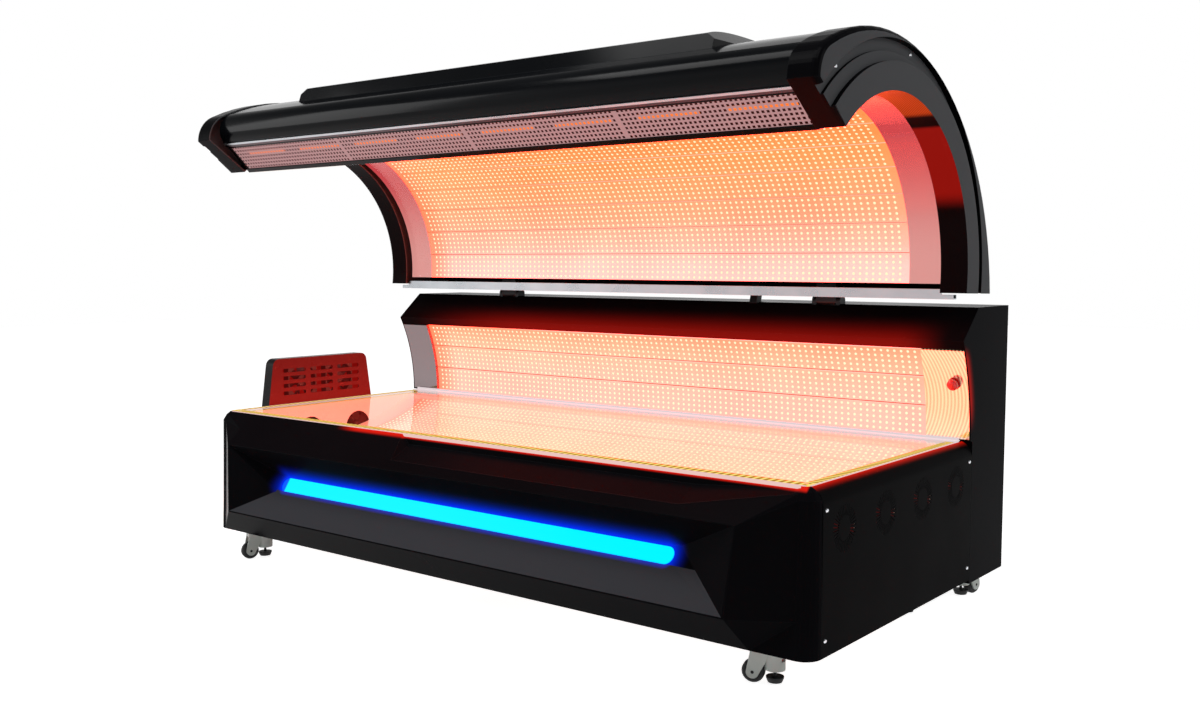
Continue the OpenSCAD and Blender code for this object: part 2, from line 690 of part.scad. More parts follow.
module actuator_tube() {
    color("gray") from_front() along_stroke(0) difference() {
        union() {
            translate([0, 0, 14]) cylinder(r = 18, h = rod_length - fork_depth - stroke - 22, $fn = 48);
            translate([-9, 0, 0]) cylinder_x(15, 18);
            translate([-9, -15, 0]) cube([18, 30, 20]);
        }
        translate([0, 0, 34]) cylinder(r = 9 + run, h = rod_length, $fn = 48);
        translate([-10, 0, 0]) cylinder_x(link_pin_r + run, 20);
    }
}
module actuator_rod() {
    color("silver") from_front() along_stroke(0) {
        translate([0, 0, 92]) cylinder(r = 9, h = rod_length - 92 - fork_depth - 2, $fn = 48);
        difference() {
            union() {
                translate([-22, 0, rod_length]) cylinder_x(13, 44);
                translate([-22, -13, rod_length - fork_depth - 6]) cube([44, 26, fork_depth + 6]);
            }
            translate([-15, -30, rod_length - fork_depth]) cube([30, 60, fork_depth + 40]);
        }
        translate([-22, 0, rod_length]) cylinder_x(link_pin_r, 44);
    }
}

// Head fan box on the head end's shoulder
box_x = canopy_end - box_t;
box_mid = bed_mid - 28;
module box_profile(grow) {
    foot_z = bed_top - 26 - grow;
    top_z = bed_top + box_h - grow;
    r = 26 - grow;
    hull() {
        for (s = [-1, 1]) translate([box_mid + s * (box_top_w / 2 - r - grow), top_z - r]) circle(r = r, $fn = 32);
        translate([box_mid - box_w / 2 + grow, foot_z]) square([box_w - 2 * grow, 1]);
    }
}
module head_fan_box() {
    roll = [half - shoulder_r, bed_top - shoulder_r];
    color("#1a0c0c") from_front() mirror([1, 0, 0]) difference() {
        along_x(box_x, box_x + box_t) box_profile(0);
        along_x(box_x + 3, box_x + box_t - 3) box_profile(3);
        along_y(0, bed_depth) polygon(concat(
            [[sheet_half - 30, 0], [half + 40, 0], [half + 40, roll[1]]],
            arc(roll, shoulder_r + seat, 0, 70, 10),
            [[sheet_half - 30, bed_top - 1]]
        ));
        for (col = [-1:1], row = [0:3]) translate([box_x - 1, box_mid + col * 118, bed_top + 36 + row * 26])
            rotate([0, 90, 0]) rounded_slot(13, 98, 5);
    }
}

// Electrics on the column's floor, and the inlet in the rear cover
module power_units() {
    foot = base_clearance + tube + seat;
    color("#2c2c30") from_front() {
        for (x = [-595, -330, 250]) translate([x, castor_rows[2] - 45, foot]) difference() {
            cube([215, 90, 50]);
            for (i = [0:9]) translate([30 + i * 16, -1, 12]) cube([6, 92, 26]);
        }
        translate([-half + 180, back - skin, column_bottom + 60]) difference() {
            union() {
                translate([-8, 2 + seat, -6]) cube([44, 1.6, 48]);
                translate([seat, -24, seat]) cube([28 - 2 * seat, 27, 36 - 2 * seat]);
            }
            translate([5, -14, 6]) cube([18, 30, 24]);
        }
    }
}

// Canopy shell: rolled cover with nose, bottom web, front frame and the raised housing on top
shell_a0 = asin((shell_foot_z - shell_c[1]) / canopy_shell_r);
module canopy_shell_profile() {
    inner_foot = canopy_c + canopy_field_r * [cos(canopy_a0), sin(canopy_a0)];
    arc_strip(shell_c, canopy_shell_r - skin, skin, shell_a0, nose_a + 0.1);
    arc_strip(nose_c, nose_r - skin, skin, nose_a, 218);
    polygon([[inner_foot[0] + 6, inner_foot[1] - 5], [inner_foot[0] + 6, inner_foot[1] - 5 + skin],
        [shell_c[0] + canopy_shell_r - 5, shell_foot_z + skin], [shell_c[0] + canopy_shell_r - 2.5, shell_foot_z]]);
    face_bar(-4, 24);
    face_bar(face_len - 14, face_len);
}
module face_bar(s0, s1) { polygon([on_face(s0, 0), on_face(s0, skin), on_face(s1, skin), on_face(s1, 0)]); }
module hump_profile(t) {
    lean = t / 12;
    difference() {
        intersection() {
            disc(shell_c, canopy_shell_r + hump_h - t);
            polygon(concat(
                [shell_c + (canopy_shell_r - skin) * [cos(62 + lean), sin(62 + lean)]],
                arc(shell_c, canopy_shell_r + hump_h + 30, 66 + lean, 104 - lean, 6),
                [shell_c + (canopy_shell_r - skin) * [cos(108 - lean), sin(108 - lean)]]
            ));
        }
        disc(shell_c, canopy_shell_r - skin + t);
    }
}
module hump_plan(t) {
    base = hump_half + 62;
    crest = shell_c[1] + canopy_shell_r + hump_h;
    polygon([[-base + t, crest - hump_h - 160], [base - t, crest - hump_h - 160], [base - t, crest - hump_h - 8],
        [hump_half - t / 2, crest + 1], [-hump_half + t / 2, crest + 1], [-base + t, crest - hump_h - 8]]);
}
module hump_body(t) {
    intersection() {
        along_x(-hump_half - 80, hump_half + 80) hump_profile(t);
        along_y(0, bed_depth) hump_plan(t);
    }
}
module canopy_shell() {
    span = cap_in - seat;
    color("#0d0d0f") from_front() difference() {
        union() {
            along_x(-span, span) canopy_shell_profile();
            at_both_ends() along_x(span - 10, span) face_bar(-4, face_len);
            hump_body(0);
        }
        hump_body(skin);
        along_x(-hump_half + 40, hump_half - 40) arc_strip(shell_c, canopy_shell_r - skin - 1, skin + 2, 72, 98);
        for (s = [-1, 1]) translate([s * hinge_half - arm_w / 2 - 1, pivot[0] - pivot_r - 3, shell_foot_z - 20])
            cube([arm_w + 2, 2 * pivot_r + 6, 50]);
        translate([actuator_x - 15, pivot[0] - 24, shell_foot_z - 20]) cube([30, 50, 50]);
    }
}

// End caps: a turned, rounded rim with a nose, and a stepped groove round the flat face
cap_open_a = [131, asin((shell_foot_z + 2 - cap_c[1]) / canopy_field_r)];
module cap_mask(t) {
    front = cap_nose_c - [cap_nose_r, 0];
    inner = cap_c + canopy_field_r * [cos(cap_open_a[0]), sin(cap_open_a[0])];
    foot = cap_c + canopy_field_r * [cos(cap_open_a[1]), sin(cap_open_a[1])];
    run_in = (inner - front) / norm(inner - front);
    up = t * [-run_in[1], run_in[0]];
    polygon([
        front - 60 * run_in + up, inner + 30 * run_in + up, cap_c, foot + [-30, t], foot + [0, t],
        [shell_c[0] + cap_shell_r + 20, shell_foot_z + t], [shell_c[0] + cap_shell_r + 20, shell_c[1] + cap_shell_r + 20],
        [front[0] - 60, shell_c[1] + cap_shell_r + 20]
    ]);
}
function cap_outline(inset) = concat(
    arc(cap_c, canopy_field_r - 6, cap_open_a[0], cap_open_a[1], 39),
    arc(shell_c, cap_shell_r - inset, asin((shell_foot_z - shell_c[1]) / cap_shell_r), cap_nose_a, 29),
    arc(cap_nose_c, cap_nose_r - inset, cap_nose_a + 6, 180, 9)
);
function cap_section(x, inset) = [for (p = cap_outline(inset)) [x, p[0], p[1]]];
cap_round = 18;
module cap_body() {
    x0 = canopy_end - cap_round;
    loft(concat([cap_section(cap_in, 0)],
        [for (a = [0:18:90]) cap_section(x0 + cap_round * sin(a), cap_round * (1 - cos(a)))]), crescent = true);
}
module cap_hollow() {
    difference() {
        intersection() {
            polygon(cap_outline(skin));
            cap_mask(skin);
        }
        disc(cap_c, canopy_field_r + skin);
    }
}
module band_between(c0, r0, c1, r1) {
    difference() {
        disc(c1, r1);
        disc(c0, r0);
    }
}
cap_screws = [canopy_c + [45, 512], canopy_c + [-330, 440]];
module end_cap() {
    x1 = canopy_end;
    groove_x = x1 - 18;
    from_front() difference() {
        cap_body();
        along_x(cap_in - 2, x1 + 2) disc(cap_c, canopy_field_r);
        along_x(cap_in - 1, groove_x - skin) cap_hollow();
        along_x(groove_x, x1 + 1) difference() {
            band_between(face_c, 491, groove_c, 540);
            band_between(face_c, 480, groove_c, 512);
        }
        along_x(x1 - 11, x1 + 1) band_between(face_c, 491, groove_c, 540);
        for (p = cap_screws) translate([groove_x - skin - 1, p[0], p[1]]) cylinder_x(2.7, skin + 2);
    }
}
module end_cap_right() { color("#161618") end_cap(); }
module end_cap_left() { color("#161618") mirror([1, 0, 0]) end_cap(); }
module canopy_screws() {
    color("silver") from_front() at_both_ends() for (p = cap_screws)
        translate([canopy_end - 18, p[0], p[1]]) rotate([0, -90, 0]) button_screw(2.5, 5, 2.5, 12);
}
module canopy_rails() {
    foot = canopy_c + canopy_field_r * [cos(canopy_a0), sin(canopy_a0)];
    color("silver") from_front() {
        along_x(-cap_in + 2 * seat, cap_in - 2 * seat) {
            polygon([on_face(1, -seat), on_face(1, -5), on_face(15, -5), on_face(15, -seat)]);
            translate([foot[0] - 20, foot[1] - 26]) square([3, 27]);
        }
        along_x(-cap_in - 32, cap_in + 32) {
            translate([foot[0] - 20, foot[1] - 26]) square([3, 12]);
            translate([foot[0] - 20, foot[1] - 26]) square([22, 3]);
            translate([foot[0] - 1, foot[1] - 26]) square([3, 12]);
        }
    }
}
module front_grille() {
    sheet_w = (2 * cap_in - 2) / grille_sheets - seat;
    cols = floor((sheet_w - 4) / grille_pitch);
    lean = atan2(face_dir[1], face_dir[0]);
    color("rosybrown") from_front() translate([0, on_face(0, skin + seat)[0], on_face(0, skin + seat)[1]])
        rotate([lean, 0, 0]) for (k = [0:grille_sheets - 1])
            translate([(k - (grille_sheets - 1) / 2) * (sheet_w + seat), 0, 0]) linear_extrude(1.5) difference() {
                translate([-sheet_w / 2, 8]) square([sheet_w, face_len - 12]);
                for (i = [0:cols - 1], j = [0:grille_rows - 1])
                    translate([(i - (cols - 1) / 2) * grille_pitch,
                        (face_len + 10) / 2 + (j - (grille_rows - 1) / 2) * grille_pitch])
                        square(grille_hole, center = true);
            }
}
module vent_lamps() {
    step = 2 * cap_in / lamp_count;
    middle = (face_len + 10) / 2;
    leg = skin + 1.5 + 2 * seat;
    plate = skin + 22;
    color("orange") from_front() {
        along_x(-cap_in + 1, cap_in - 1) {
            for (s = [10, face_len - 9.5])
                polygon([on_face(s, leg), on_face(s, plate + 1.5), on_face(s + 1.5, plate + 1.5), on_face(s + 1.5, leg)]);
            polygon([on_face(10, plate), on_face(10, plate + 1.5), on_face(face_len - 8, plate + 1.5), on_face(face_len - 8, plate)]);
        }
        for (i = [0:lamp_count - 1]) along_x((i - (lamp_count - 1) / 2) * step - 90, (i - (lamp_count - 1) / 2) * step + 90)
            polygon([on_face(middle - 8, plate - 4), on_face(middle - 8, plate + 1), on_face(middle + 8, plate + 1), on_face(middle + 8, plate - 4)]);
    }
}
module canopy_led_boards() {
    color("peachpuff") from_front() along_x(-field_x, field_x)
        board_rows(canopy_c, canopy_field_r, canopy_a0 + 2, canopy_a1, canopy_strips);
}
module canopy_acrylic() {
    color("mistyrose", 0.4) from_front() along_x(-cap_in + 1, cap_in - 1)
        arc_strip(canopy_c, canopy_field_r - 3 - cover_t, cover_t, canopy_a0 + 2, canopy_a1 - 1);
}
module canopy_filler_strips() {
    color("lightpink") from_front() at_both_ends() along_x(field_x + seat, cap_in - seat)
        arc_strip(canopy_c, canopy_field_r - 3 + seat, 3, canopy_a0 + 2, canopy_a1 - 1);
}

// Canopy frame: ribs between boards and shell, a rear beam, the hinge arms and the crank
module rib_profile() {
    r0 = canopy_field_r + board_t + seat;
    r1 = canopy_shell_r - skin - seat;
    front = [canopy_c + r0 * [cos(canopy_a1 - 2), sin(canopy_a1 - 2)], shell_c + r1 * [cos(108), sin(108)]];
    foot = canopy_c + r0 * [cos(canopy_a0 + 3), sin(canopy_a0 + 3)];
    difference() {
        intersection() {
            disc(shell_c, r1);
            polygon([front[0], canopy_c, foot, [shell_c[0] + r1, shell_foot_z + 12], [shell_c[0] + r1, shell_c[1] + r1],
                [front[1][0], shell_c[1] + r1], front[1]]);
        }
        disc(canopy_c, r0);
        arc_strip(canopy_c, r0 + 30, 60, 20, 110);
    }
}
module canopy_ribs() {
    color("dimgray") from_front() difference() {
        union() for (x = [-cap_in + 40, -hinge_half, -200, 200, hinge_half, cap_in - 40]) along_x(x - 2, x + 2) rib_profile();
        along_x(-cap_in, cap_in) translate(beam - [seat, seat]) square([beam_w + 2 * seat, beam_w + 2 * seat]);
        for (s = [-1, 1]) along_x(s * hinge_half - 3, s * hinge_half + 3)
            translate([pivot[0] - pivot_r - seat, pivot[1]]) square([2 * (pivot_r + seat), beam[1] - pivot[1] + 1 + seat]);
    }
}
beam = canopy_c + [500, -38];
beam_w = 40;
module hinge_arms() {
    color("#1c1c1e") from_front() difference() {
        union() {
            tube_box([-cap_in + 42, beam[0], beam[1]], [cap_in - 42, beam[0] + beam_w, beam[1] + beam_w], 0);
            for (s = [-1, 1]) translate([s * hinge_half - arm_w / 2 + 0.5, pivot[0], pivot[1]]) {
                cylinder_x(pivot_r, arm_w - 1);
                translate([0, -pivot_r, 0]) cube([arm_w - 1, 2 * pivot_r, beam[1] - pivot[1] + 1]);
            }
            along_x(actuator_x - 13, actuator_x + 13) crank_profile();
        }
        for (s = [-1, 1]) translate([s * hinge_half - arm_w / 2 - 1, pivot[0], pivot[1]]) cylinder_x(pin_r + run, arm_w + 2);
        along_x(actuator_x - 14, actuator_x + 14) crank_slot_profile();
    }
}
module crank_profile() {
    r = 14;
    dir = crank_a / norm(crank_a);
    side = [-dir[1], dir[0]];
    head = [pivot[0] + 12, beam[1] + 1];
    tip = crank_at + 8 * dir;
    translate(tip) circle(r = r, $fn = 48);
    polygon([tip + r * side, head + [8, 0], head + [-16, 0], tip - r * side]);
}
module crank_slot_profile() {
    dir = crank_a / norm(crank_a);
    slot_r = link_pin_r + 1.5;
    side = slot_r * [dir[1], -dir[0]];
    run_out = crank_slot_half * dir;
    for (d = [-1, 1]) translate(crank_at + d * run_out) circle(r = slot_r, $fn = 48);
    polygon([crank_at + side - run_out, crank_at + side + run_out, crank_at - side + run_out, crank_at - side - run_out]);
}

// Levelling castors, numbered in pairs from the front: odd at the foot end, even at the head end
function castor_place(i) = let (row = floor(i / 2), side = i % 2 == 0 ? 1 : -1)
    [side * castor_half[row], castor_rows[row]];
function castor_turn(i) = castor_turns[floor(i / 2)][i % 2];
castor_top = base_clearance - castor_plate_t;
module at_castor(i) {
    from_front() translate([castor_place(i)[0], castor_place(i)[1], 0]) rotate([0, 0, castor_turn(i)]) children();
}
module castor_body(i) {
    fork_in = wheel_w / 2 + 1;
    drum_r = pad_r + 3;
    color("#8f988f") at_castor(i) difference() {
        union() {
            translate([0, 0, castor_top - 12 - seat]) cylinder(r = 34, h = 12, $fn = 48);
            translate([0, 0, 34]) cylinder(r = drum_r, h = castor_top - 34 - 6, $fn = 48);
            for (s = [-1, 1]) translate([0, s * (fork_in + 2.5), 0]) hull() {
                translate([trail, 0, wheel_r]) rotate([90, 0, 0]) cylinder(r = 15, h = 5, center = true, $fn = 32);
                translate([10, -2.5, castor_top - 22]) cube([trail - 6, 5, 14]);
            }
            translate([0, -fork_in - 5, castor_top - 20]) cube([trail + 6, 2 * fork_in + 10, 13]);
        }
        translate([trail, 0, wheel_r]) rotate([90, 0, 0]) cylinder(r = wheel_r + 3, h = wheel_w + 2, center = true, $fn = 48);
        translate([trail, 0, wheel_r]) rotate([90, 0, 0]) cylinder(r = 4 + run, h = 60, center = true, $fn = 32);
        translate([0, 0, 20]) cylinder(r = 4 + run, h = castor_top, $fn = 32);
        translate([0, 0, castor_top - 6 - seat]) cylinder(r = 12 + run, h = 10, $fn = 48);
        translate([0, 0, 30]) cylinder(r = pad_r - 1, h = 14, $fn = 48);
        translate([-60, -16, dial_z - seat]) cube([120, 32, dial_h + 2 * seat]);
        translate([0, 0, dial_z - seat]) cylinder(r = drum_r - 3, h = dial_h + 2 * seat, $fn = 48);
    }
}
dial_z = 56;
dial_h = 8;
module castor_wheel(i) {
    color("#0b0b0b") at_castor(i) translate([trail, 0, wheel_r]) rotate([90, 0, 0]) {
        rotate_extrude($fn = 64) polygon([[0, -wheel_w / 2], [wheel_r - 4, -wheel_w / 2], [wheel_r, -wheel_w / 2 + 5],
            [wheel_r, wheel_w / 2 - 5], [wheel_r - 4, wheel_w / 2], [0, wheel_w / 2]]);
        cylinder(r = 4, h = wheel_w + 11, center = true, $fn = 32);
    }
}
module castor_dial(i) {
    color("red") at_castor(i) translate([0, 0, dial_z]) difference() {
        cylinder(r = pad_r - 1.5, h = dial_h, $fn = 48);
        translate([0, 0, -1]) cylinder(r = 4 + run, h = dial_h + 2, $fn = 32);
        for (a = [0:30:330]) rotate([0, 0, a]) translate([pad_r - 1.5, 0, -1]) cylinder(r = 2, h = dial_h + 2, $fn = 24);
    }
}
module castor_pad(i) {
    color("#7d867d") at_castor(i) {
        translate([0, 0, pad_lift]) cylinder(r1 = pad_r - 4, r2 = pad_r, h = 10, $fn = 64);
        translate([0, 0, pad_lift + 10]) cylinder(r = pad_r, h = 3, $fn = 64);
        translate([0, 0, pad_lift + 12]) cylinder(r = 4, h = 60, $fn = 32);
    }
}

base_frame();
front_fascia();
light_bar_lens();
light_bar_carrier();
side_panel_right();
side_panel_left();
led_tray();
bed_led_boards();
bed_acrylic();
panel_screws();
cooling_fans();
column_housing();
column_rear_cover();
column_led_boards();
column_acrylic();
column_filler_strips();
column_ledge_trim();
hinge_brackets();
button_collar();
button_head();
head_fan_box();
power_units();
actuator_tube();
actuator_rod();
canopy_shell();
end_cap_right();
end_cap_left();
canopy_rails();
front_grille();
vent_lamps();
canopy_led_boards();
canopy_acrylic();
canopy_filler_strips();
canopy_ribs();
hinge_arms();
canopy_screws();
for (i = [0:5]) {
    castor_body(i);
    castor_wheel(i);
    castor_dial(i);
    castor_pad(i);
}
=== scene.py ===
import bpy, math
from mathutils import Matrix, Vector


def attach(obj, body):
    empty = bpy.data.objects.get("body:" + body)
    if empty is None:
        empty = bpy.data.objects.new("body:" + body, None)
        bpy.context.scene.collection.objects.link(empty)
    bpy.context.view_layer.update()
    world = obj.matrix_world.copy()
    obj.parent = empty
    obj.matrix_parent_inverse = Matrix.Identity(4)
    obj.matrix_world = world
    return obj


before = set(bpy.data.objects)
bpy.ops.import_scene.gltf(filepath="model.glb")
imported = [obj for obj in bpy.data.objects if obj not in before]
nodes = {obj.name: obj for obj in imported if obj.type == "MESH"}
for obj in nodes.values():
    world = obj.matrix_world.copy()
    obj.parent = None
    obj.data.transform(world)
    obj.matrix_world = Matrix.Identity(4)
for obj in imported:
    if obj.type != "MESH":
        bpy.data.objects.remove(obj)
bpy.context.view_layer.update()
print("frame loaded:", len(nodes), "nodes")

# the photograph's viewpoint
cameraView = {
    "place": (2.3318, -2.8129, 0.9721),
    "tilt": 90 - 4.74,       # degrees from straight down
    "turn": 38.52,           # degrees to the left of +Y
    "lens": 36.16,           # mm, on a sensor 36 mm wide
}
cameraData = bpy.data.cameras.new("photoCamera")
cameraData.lens = cameraView["lens"]
cameraData.sensor_width = 36
camera = bpy.data.objects.new("photoCamera", cameraData)
camera.location = cameraView["place"]
camera.rotation_euler = (math.radians(cameraView["tilt"]), 0, math.radians(cameraView["turn"]))
bpy.context.scene.collection.objects.link(camera)
bpy.context.scene.camera = camera
bpy.context.scene.view_settings.view_transform = "Standard"
print("camera set")


# an sRGB hex code as the linear colour that a shader socket takes
def linear(code):
    parts = [int(code[i:i + 2], 16) / 255 for i in (1, 3, 5)]
    return [c / 12.92 if c <= 0.04045 else ((c + 0.055) / 1.055) ** 2.4 for c in parts] + [1]


# adds a shader node with its settings; an input is a value or another node's output
def addNode(tree, kind, inputs=None, **settings):
    made = tree.nodes.new("ShaderNode" + kind)
    for name, value in settings.items():
        setattr(made, name, value)
    for socket, value in (inputs or {}).items():
        if isinstance(value, bpy.types.NodeSocket):
            tree.links.new(value, made.inputs[socket])
        else:
            made.inputs[socket].default_value = value
    return made


def newFinish(name, sockets):
    made = bpy.data.materials.new(name)
    made.use_nodes = True
    shader = made.node_tree.nodes["Principled BSDF"]
    for socket, value in sockets.items():
        shader.inputs[socket].default_value = value
    return made, made.node_tree, shader


# A look names its patches and its grain by their size in mm, and its edges by their rounding in mm
finishShape = {"cloudDetail": 3.0, "grainDetail": 4.0, "reliefDepth": 0.0004, "rim": (0.995, 0.8)}
noiseSpan = {1: 0.3, 2: 0.7}   # where most of a noise texture's values lie, as inputs of a map range node


# every opaque finish: a cloudy tint, a roughness that wanders, a fine relief and paler edges, part wear and part
# painted highlight
def surface(name, look):
    made, tree, shader = newFinish(name, look["sockets"])
    place = addNode(tree, "TexCoord").outputs["Object"]
    cloud = addNode(tree, "TexNoise", {"Vector": place, "Scale": 1000 / look["cloud"],
                                       "Detail": finishShape["cloudDetail"]}).outputs["Fac"]
    grain = addNode(tree, "TexNoise", {"Vector": place, "Scale": 1000 / look["grain"],
                                       "Detail": finishShape["grainDetail"]}).outputs["Fac"]
    colour = addNode(tree, "Mix", {0: cloud, 6: linear(look["dark"]), 7: linear(look["light"])},
                     data_type="RGBA").outputs[2]
    relief = {"Height": grain, "Strength": look["relief"], "Distance": finishShape["reliefDepth"]}
    if "edge" in look:
        soft = addNode(tree, "Bevel", {"Radius": look["edge"] / 1000}, samples=4).outputs["Normal"]
        relief["Normal"] = soft
        # paler rounded edges: part wear, part painted highlight
        if "worn" in look:
            flat = addNode(tree, "NewGeometry").outputs["Normal"]
            along = addNode(tree, "VectorMath", {0: soft, 1: flat}, operation="DOT_PRODUCT").outputs["Value"]
            start, full = finishShape["rim"]
            rim = addNode(tree, "MapRange", {0: along, 1: start, 2: full, 3: 0.0, 4: 1.0}).outputs[0]
            patchy = addNode(tree, "Math", {0: rim, 1: grain}, operation="MULTIPLY").outputs[0]
            colour = addNode(tree, "Mix", {0: patchy, 6: colour, 7: linear(look["worn"])}, data_type="RGBA").outputs[2]
    tree.links.new(colour, shader.inputs["Base Color"])
    low, high = look["rough"]
    rough = addNode(tree, "MapRange", {0: cloud, **noiseSpan, 3: low, 4: high}).outputs[0]
    tree.links.new(rough, shader.inputs["Roughness"])
    tree.links.new(addNode(tree, "Bump", relief).outputs["Normal"], shader.inputs["Normal"])
    return made, tree, shader, place


# how far a point lies between two planes across an axis: 0 before start, 1 past end
def across(tree, place, axis, start, end):
    part = addNode(tree, "SeparateXYZ", {0: place}).outputs[axis]
    shares = {1: start, 2: end} if start < end else {1: end, 2: start, 3: 1.0, 4: 0.0}
    return addNode(tree, "MapRange", {0: part, **shares}, interpolation_type="SMOOTHSTEP").outputs[0]


# 1 where the surface faces more than this much towards +axis, or towards either side of it
def turned(tree, axis, least, eitherSide=False):
    part = addNode(tree, "SeparateXYZ", {0: addNode(tree, "NewGeometry").outputs["Normal"]}).outputs[axis]
    if eitherSide:
        part = addNode(tree, "Math", {0: part}, operation="ABSOLUTE").outputs[0]
    return addNode(tree, "Math", {0: part, 1: least}, operation="GREATER_THAN").outputs[0]


def allOf(tree, *shares):
    whole = shares[0]
    for share in shares[1:]:
        whole = addNode(tree, "Math", {0: whole, 1: share}, operation="MULTIPLY").outputs[0]
    return whole


# place relative to a line along X through (y, z), as a vector in the Y-Z plane
def aroundLine(tree, place, centre):
    offset = addNode(tree, "VectorMath", {0: place, 1: (0, centre[0], centre[1])}, operation="SUBTRACT").outputs[0]
    return addNode(tree, "VectorMath", {0: offset, 1: (0, 1, 1)}, operation="MULTIPLY").outputs[0]


# light that a surface gives off or catches: colours, each with the share where it shows
def shine(tree, shader, power, *layers):
    total = None
    for code, share in layers:
        layer = addNode(tree, "VectorMath", {0: linear(code)[:3], "Scale": share}, operation="SCALE").outputs[0]
        if total is None:
            total = layer
        else:
            total = addNode(tree, "VectorMath", {0: total, 1: layer}, operation="ADD").outputs[0]
    tree.links.new(total, shader.inputs["Emission Color"])
    shader.inputs["Emission Strength"].default_value = power


def retint(tree, shader, socket, share, value):
    was = shader.inputs[socket].links[0].from_socket
    if socket == "Base Color":
        mixed = addNode(tree, "Mix", {0: share, 6: was, 7: linear(value)}, data_type="RGBA").outputs[2]
    else:
        mixed = addNode(tree, "Mix", {0: share, 2: was, 3: value}).outputs[0]
    tree.links.new(mixed, shader.inputs[socket])


def paint(finish, *names):
    for name in names:
        slots = nodes[name].data.materials
        slots.clear()
        slots.append(finish)


# Acrylic-capped ABS, vacuum formed and polished: deep black that mirrors only near its outline
shellLook = {"dark": "#08090b", "light": "#0c0e11", "worn": "#303236", "cloud": 300, "grain": 9, "rough": (0.12, 0.18),
             "relief": 0.02, "edge": 2.5, "sockets": {"IOR": 1.16}}
# The same sheet on the fascia and the column, where it mirrors still less
fasciaLook = {"dark": "#0b0b0d", "light": "#0f0f12", "worn": "#2a2b2e", "cloud": 300, "grain": 9, "rough": (0.18, 0.26),
              "relief": 0.02, "edge": 2.5, "sockets": {"IOR": 1.032}}
# Powder-coated sheet steel: fine orange peel, a quiet satin black
panelLook = {"dark": "#080809", "light": "#0d0d0e", "worn": "#2c2c2e", "cloud": 180, "grain": 2.2,
             "rough": (0.30, 0.42), "relief": 0.08, "edge": 1.5, "sockets": {"IOR": 1.035}}
# Powder-coated rear cover, a shade greyer
coverLook = {"dark": "#17181a", "light": "#1f2022", "worn": "#3a3b3d", "cloud": 180, "grain": 2.2,
             "rough": (0.32, 0.44), "relief": 0.08, "edge": 1.5, "sockets": {"IOR": 1.12}}
# Moulded ABS end caps with a polished rim
capLook = {"dark": "#08080a", "light": "#0c0c0e", "worn": "#303236", "cloud": 260, "grain": 9, "rough": (0.16, 0.24),
           "relief": 0.02, "edge": 2.5, "sockets": {"IOR": 1.06}}
# Welded tube, powder coated: even dark grey with a fine orange peel
tubeLook = {"dark": "#1b1c1e", "light": "#26282a", "cloud": 120, "grain": 2.0, "rough": (0.40, 0.55), "relief": 0.15,
            "sockets": {"Specular IOR Level": 0.4}}
# Zinc-plated steel screws: bright, with small stains
screwLook = {"dark": "#b8bbc0", "light": "#d6d9dc", "cloud": 6, "grain": 0.8, "rough": (0.16, 0.30), "relief": 0.05,
             "edge": 0.4, "sockets": {"Metallic": 1.0}}
# Anodised aluminium extrusion: satin silver
railLook = {"dark": "#9a9ea2", "light": "#b4b8bc", "cloud": 90, "grain": 1.2, "rough": (0.26, 0.30), "relief": 0.0,
            "edge": 0.6, "sockets": {"Metallic": 1.0}}
# Die-cast aluminium behind the lens: dull silver
carrierLook = {"dark": "#8e959c", "light": "#a6adb4", "cloud": 60, "grain": 2.0, "rough": (0.35, 0.5), "relief": 0.1,
               "sockets": {"Metallic": 1.0}}
# White painted sheet steel tray, glowing salmon in the boards' light
trayLook = {"dark": "#d9cfcb", "light": "#e6dcd8", "cloud": 150, "grain": 2.5, "rough": (0.34, 0.46), "relief": 0.08,
            "sockets": {"Emission Color": linear("#957f72"), "Emission Strength": 1.0}}
# White painted trim on the ledge: pale pink in the boards' light, with a soft gloss
trimLook = {"dark": "#40393b", "light": "#4c4446", "cloud": 90, "grain": 1.6, "rough": (0.38, 0.5), "relief": 0.05,
            "edge": 0.8, "sockets": {"IOR": 1.3, "Emission Color": linear("#d6cbce"), "Emission Strength": 1.0}}
# Glass-filled nylon fans: matt black with a sparked texture, and a painted red glow for the boards' light on them
fanLook = {"dark": "#101012", "light": "#1a1a1c", "cloud": 40, "grain": 1.0, "rough": (0.42, 0.56), "relief": 0.2,
           "sockets": {"Specular IOR Level": 0.3, "Emission Color": linear("#5c0e0c"), "Emission Strength": 0.5}}
# Cast steel hinges, black oxide: dark, dry sheen, paler at the corners, part wear and part painted highlight
hingeLook = {"dark": "#0e0f11", "light": "#1a1c1f", "worn": "#6e6f72", "cloud": 50, "grain": 1.4, "rough": (0.34, 0.5),
             "relief": 0.2, "edge": 1.2, "sockets": {"Metallic": 0.6}}
# Injection-moulded nylon castor forks: light grey-green, soft sheen
forkLook = {"dark": "#ccd3cd", "light": "#dfe5df", "worn": "#f0f3f0", "cloud": 35, "grain": 1.2, "rough": (0.36, 0.5),
            "relief": 0.12, "edge": 0.8, "sockets": {}}
# Rubber treads and pads: flat black, a little dusty
treadLook = {"dark": "#0c0c0d", "light": "#18181a", "cloud": 20, "grain": 0.9, "rough": (0.5, 0.7), "relief": 0.3,
             "edge": 0.8, "sockets": {"Specular IOR Level": 0.3}}
# Acetal thumb wheel: waxy dark red
dialLook = {"dark": "#7d1512", "light": "#a3201b", "cloud": 14, "grain": 0.8, "rough": (0.32, 0.45), "relief": 0.15,
            "edge": 0.5, "sockets": {}}
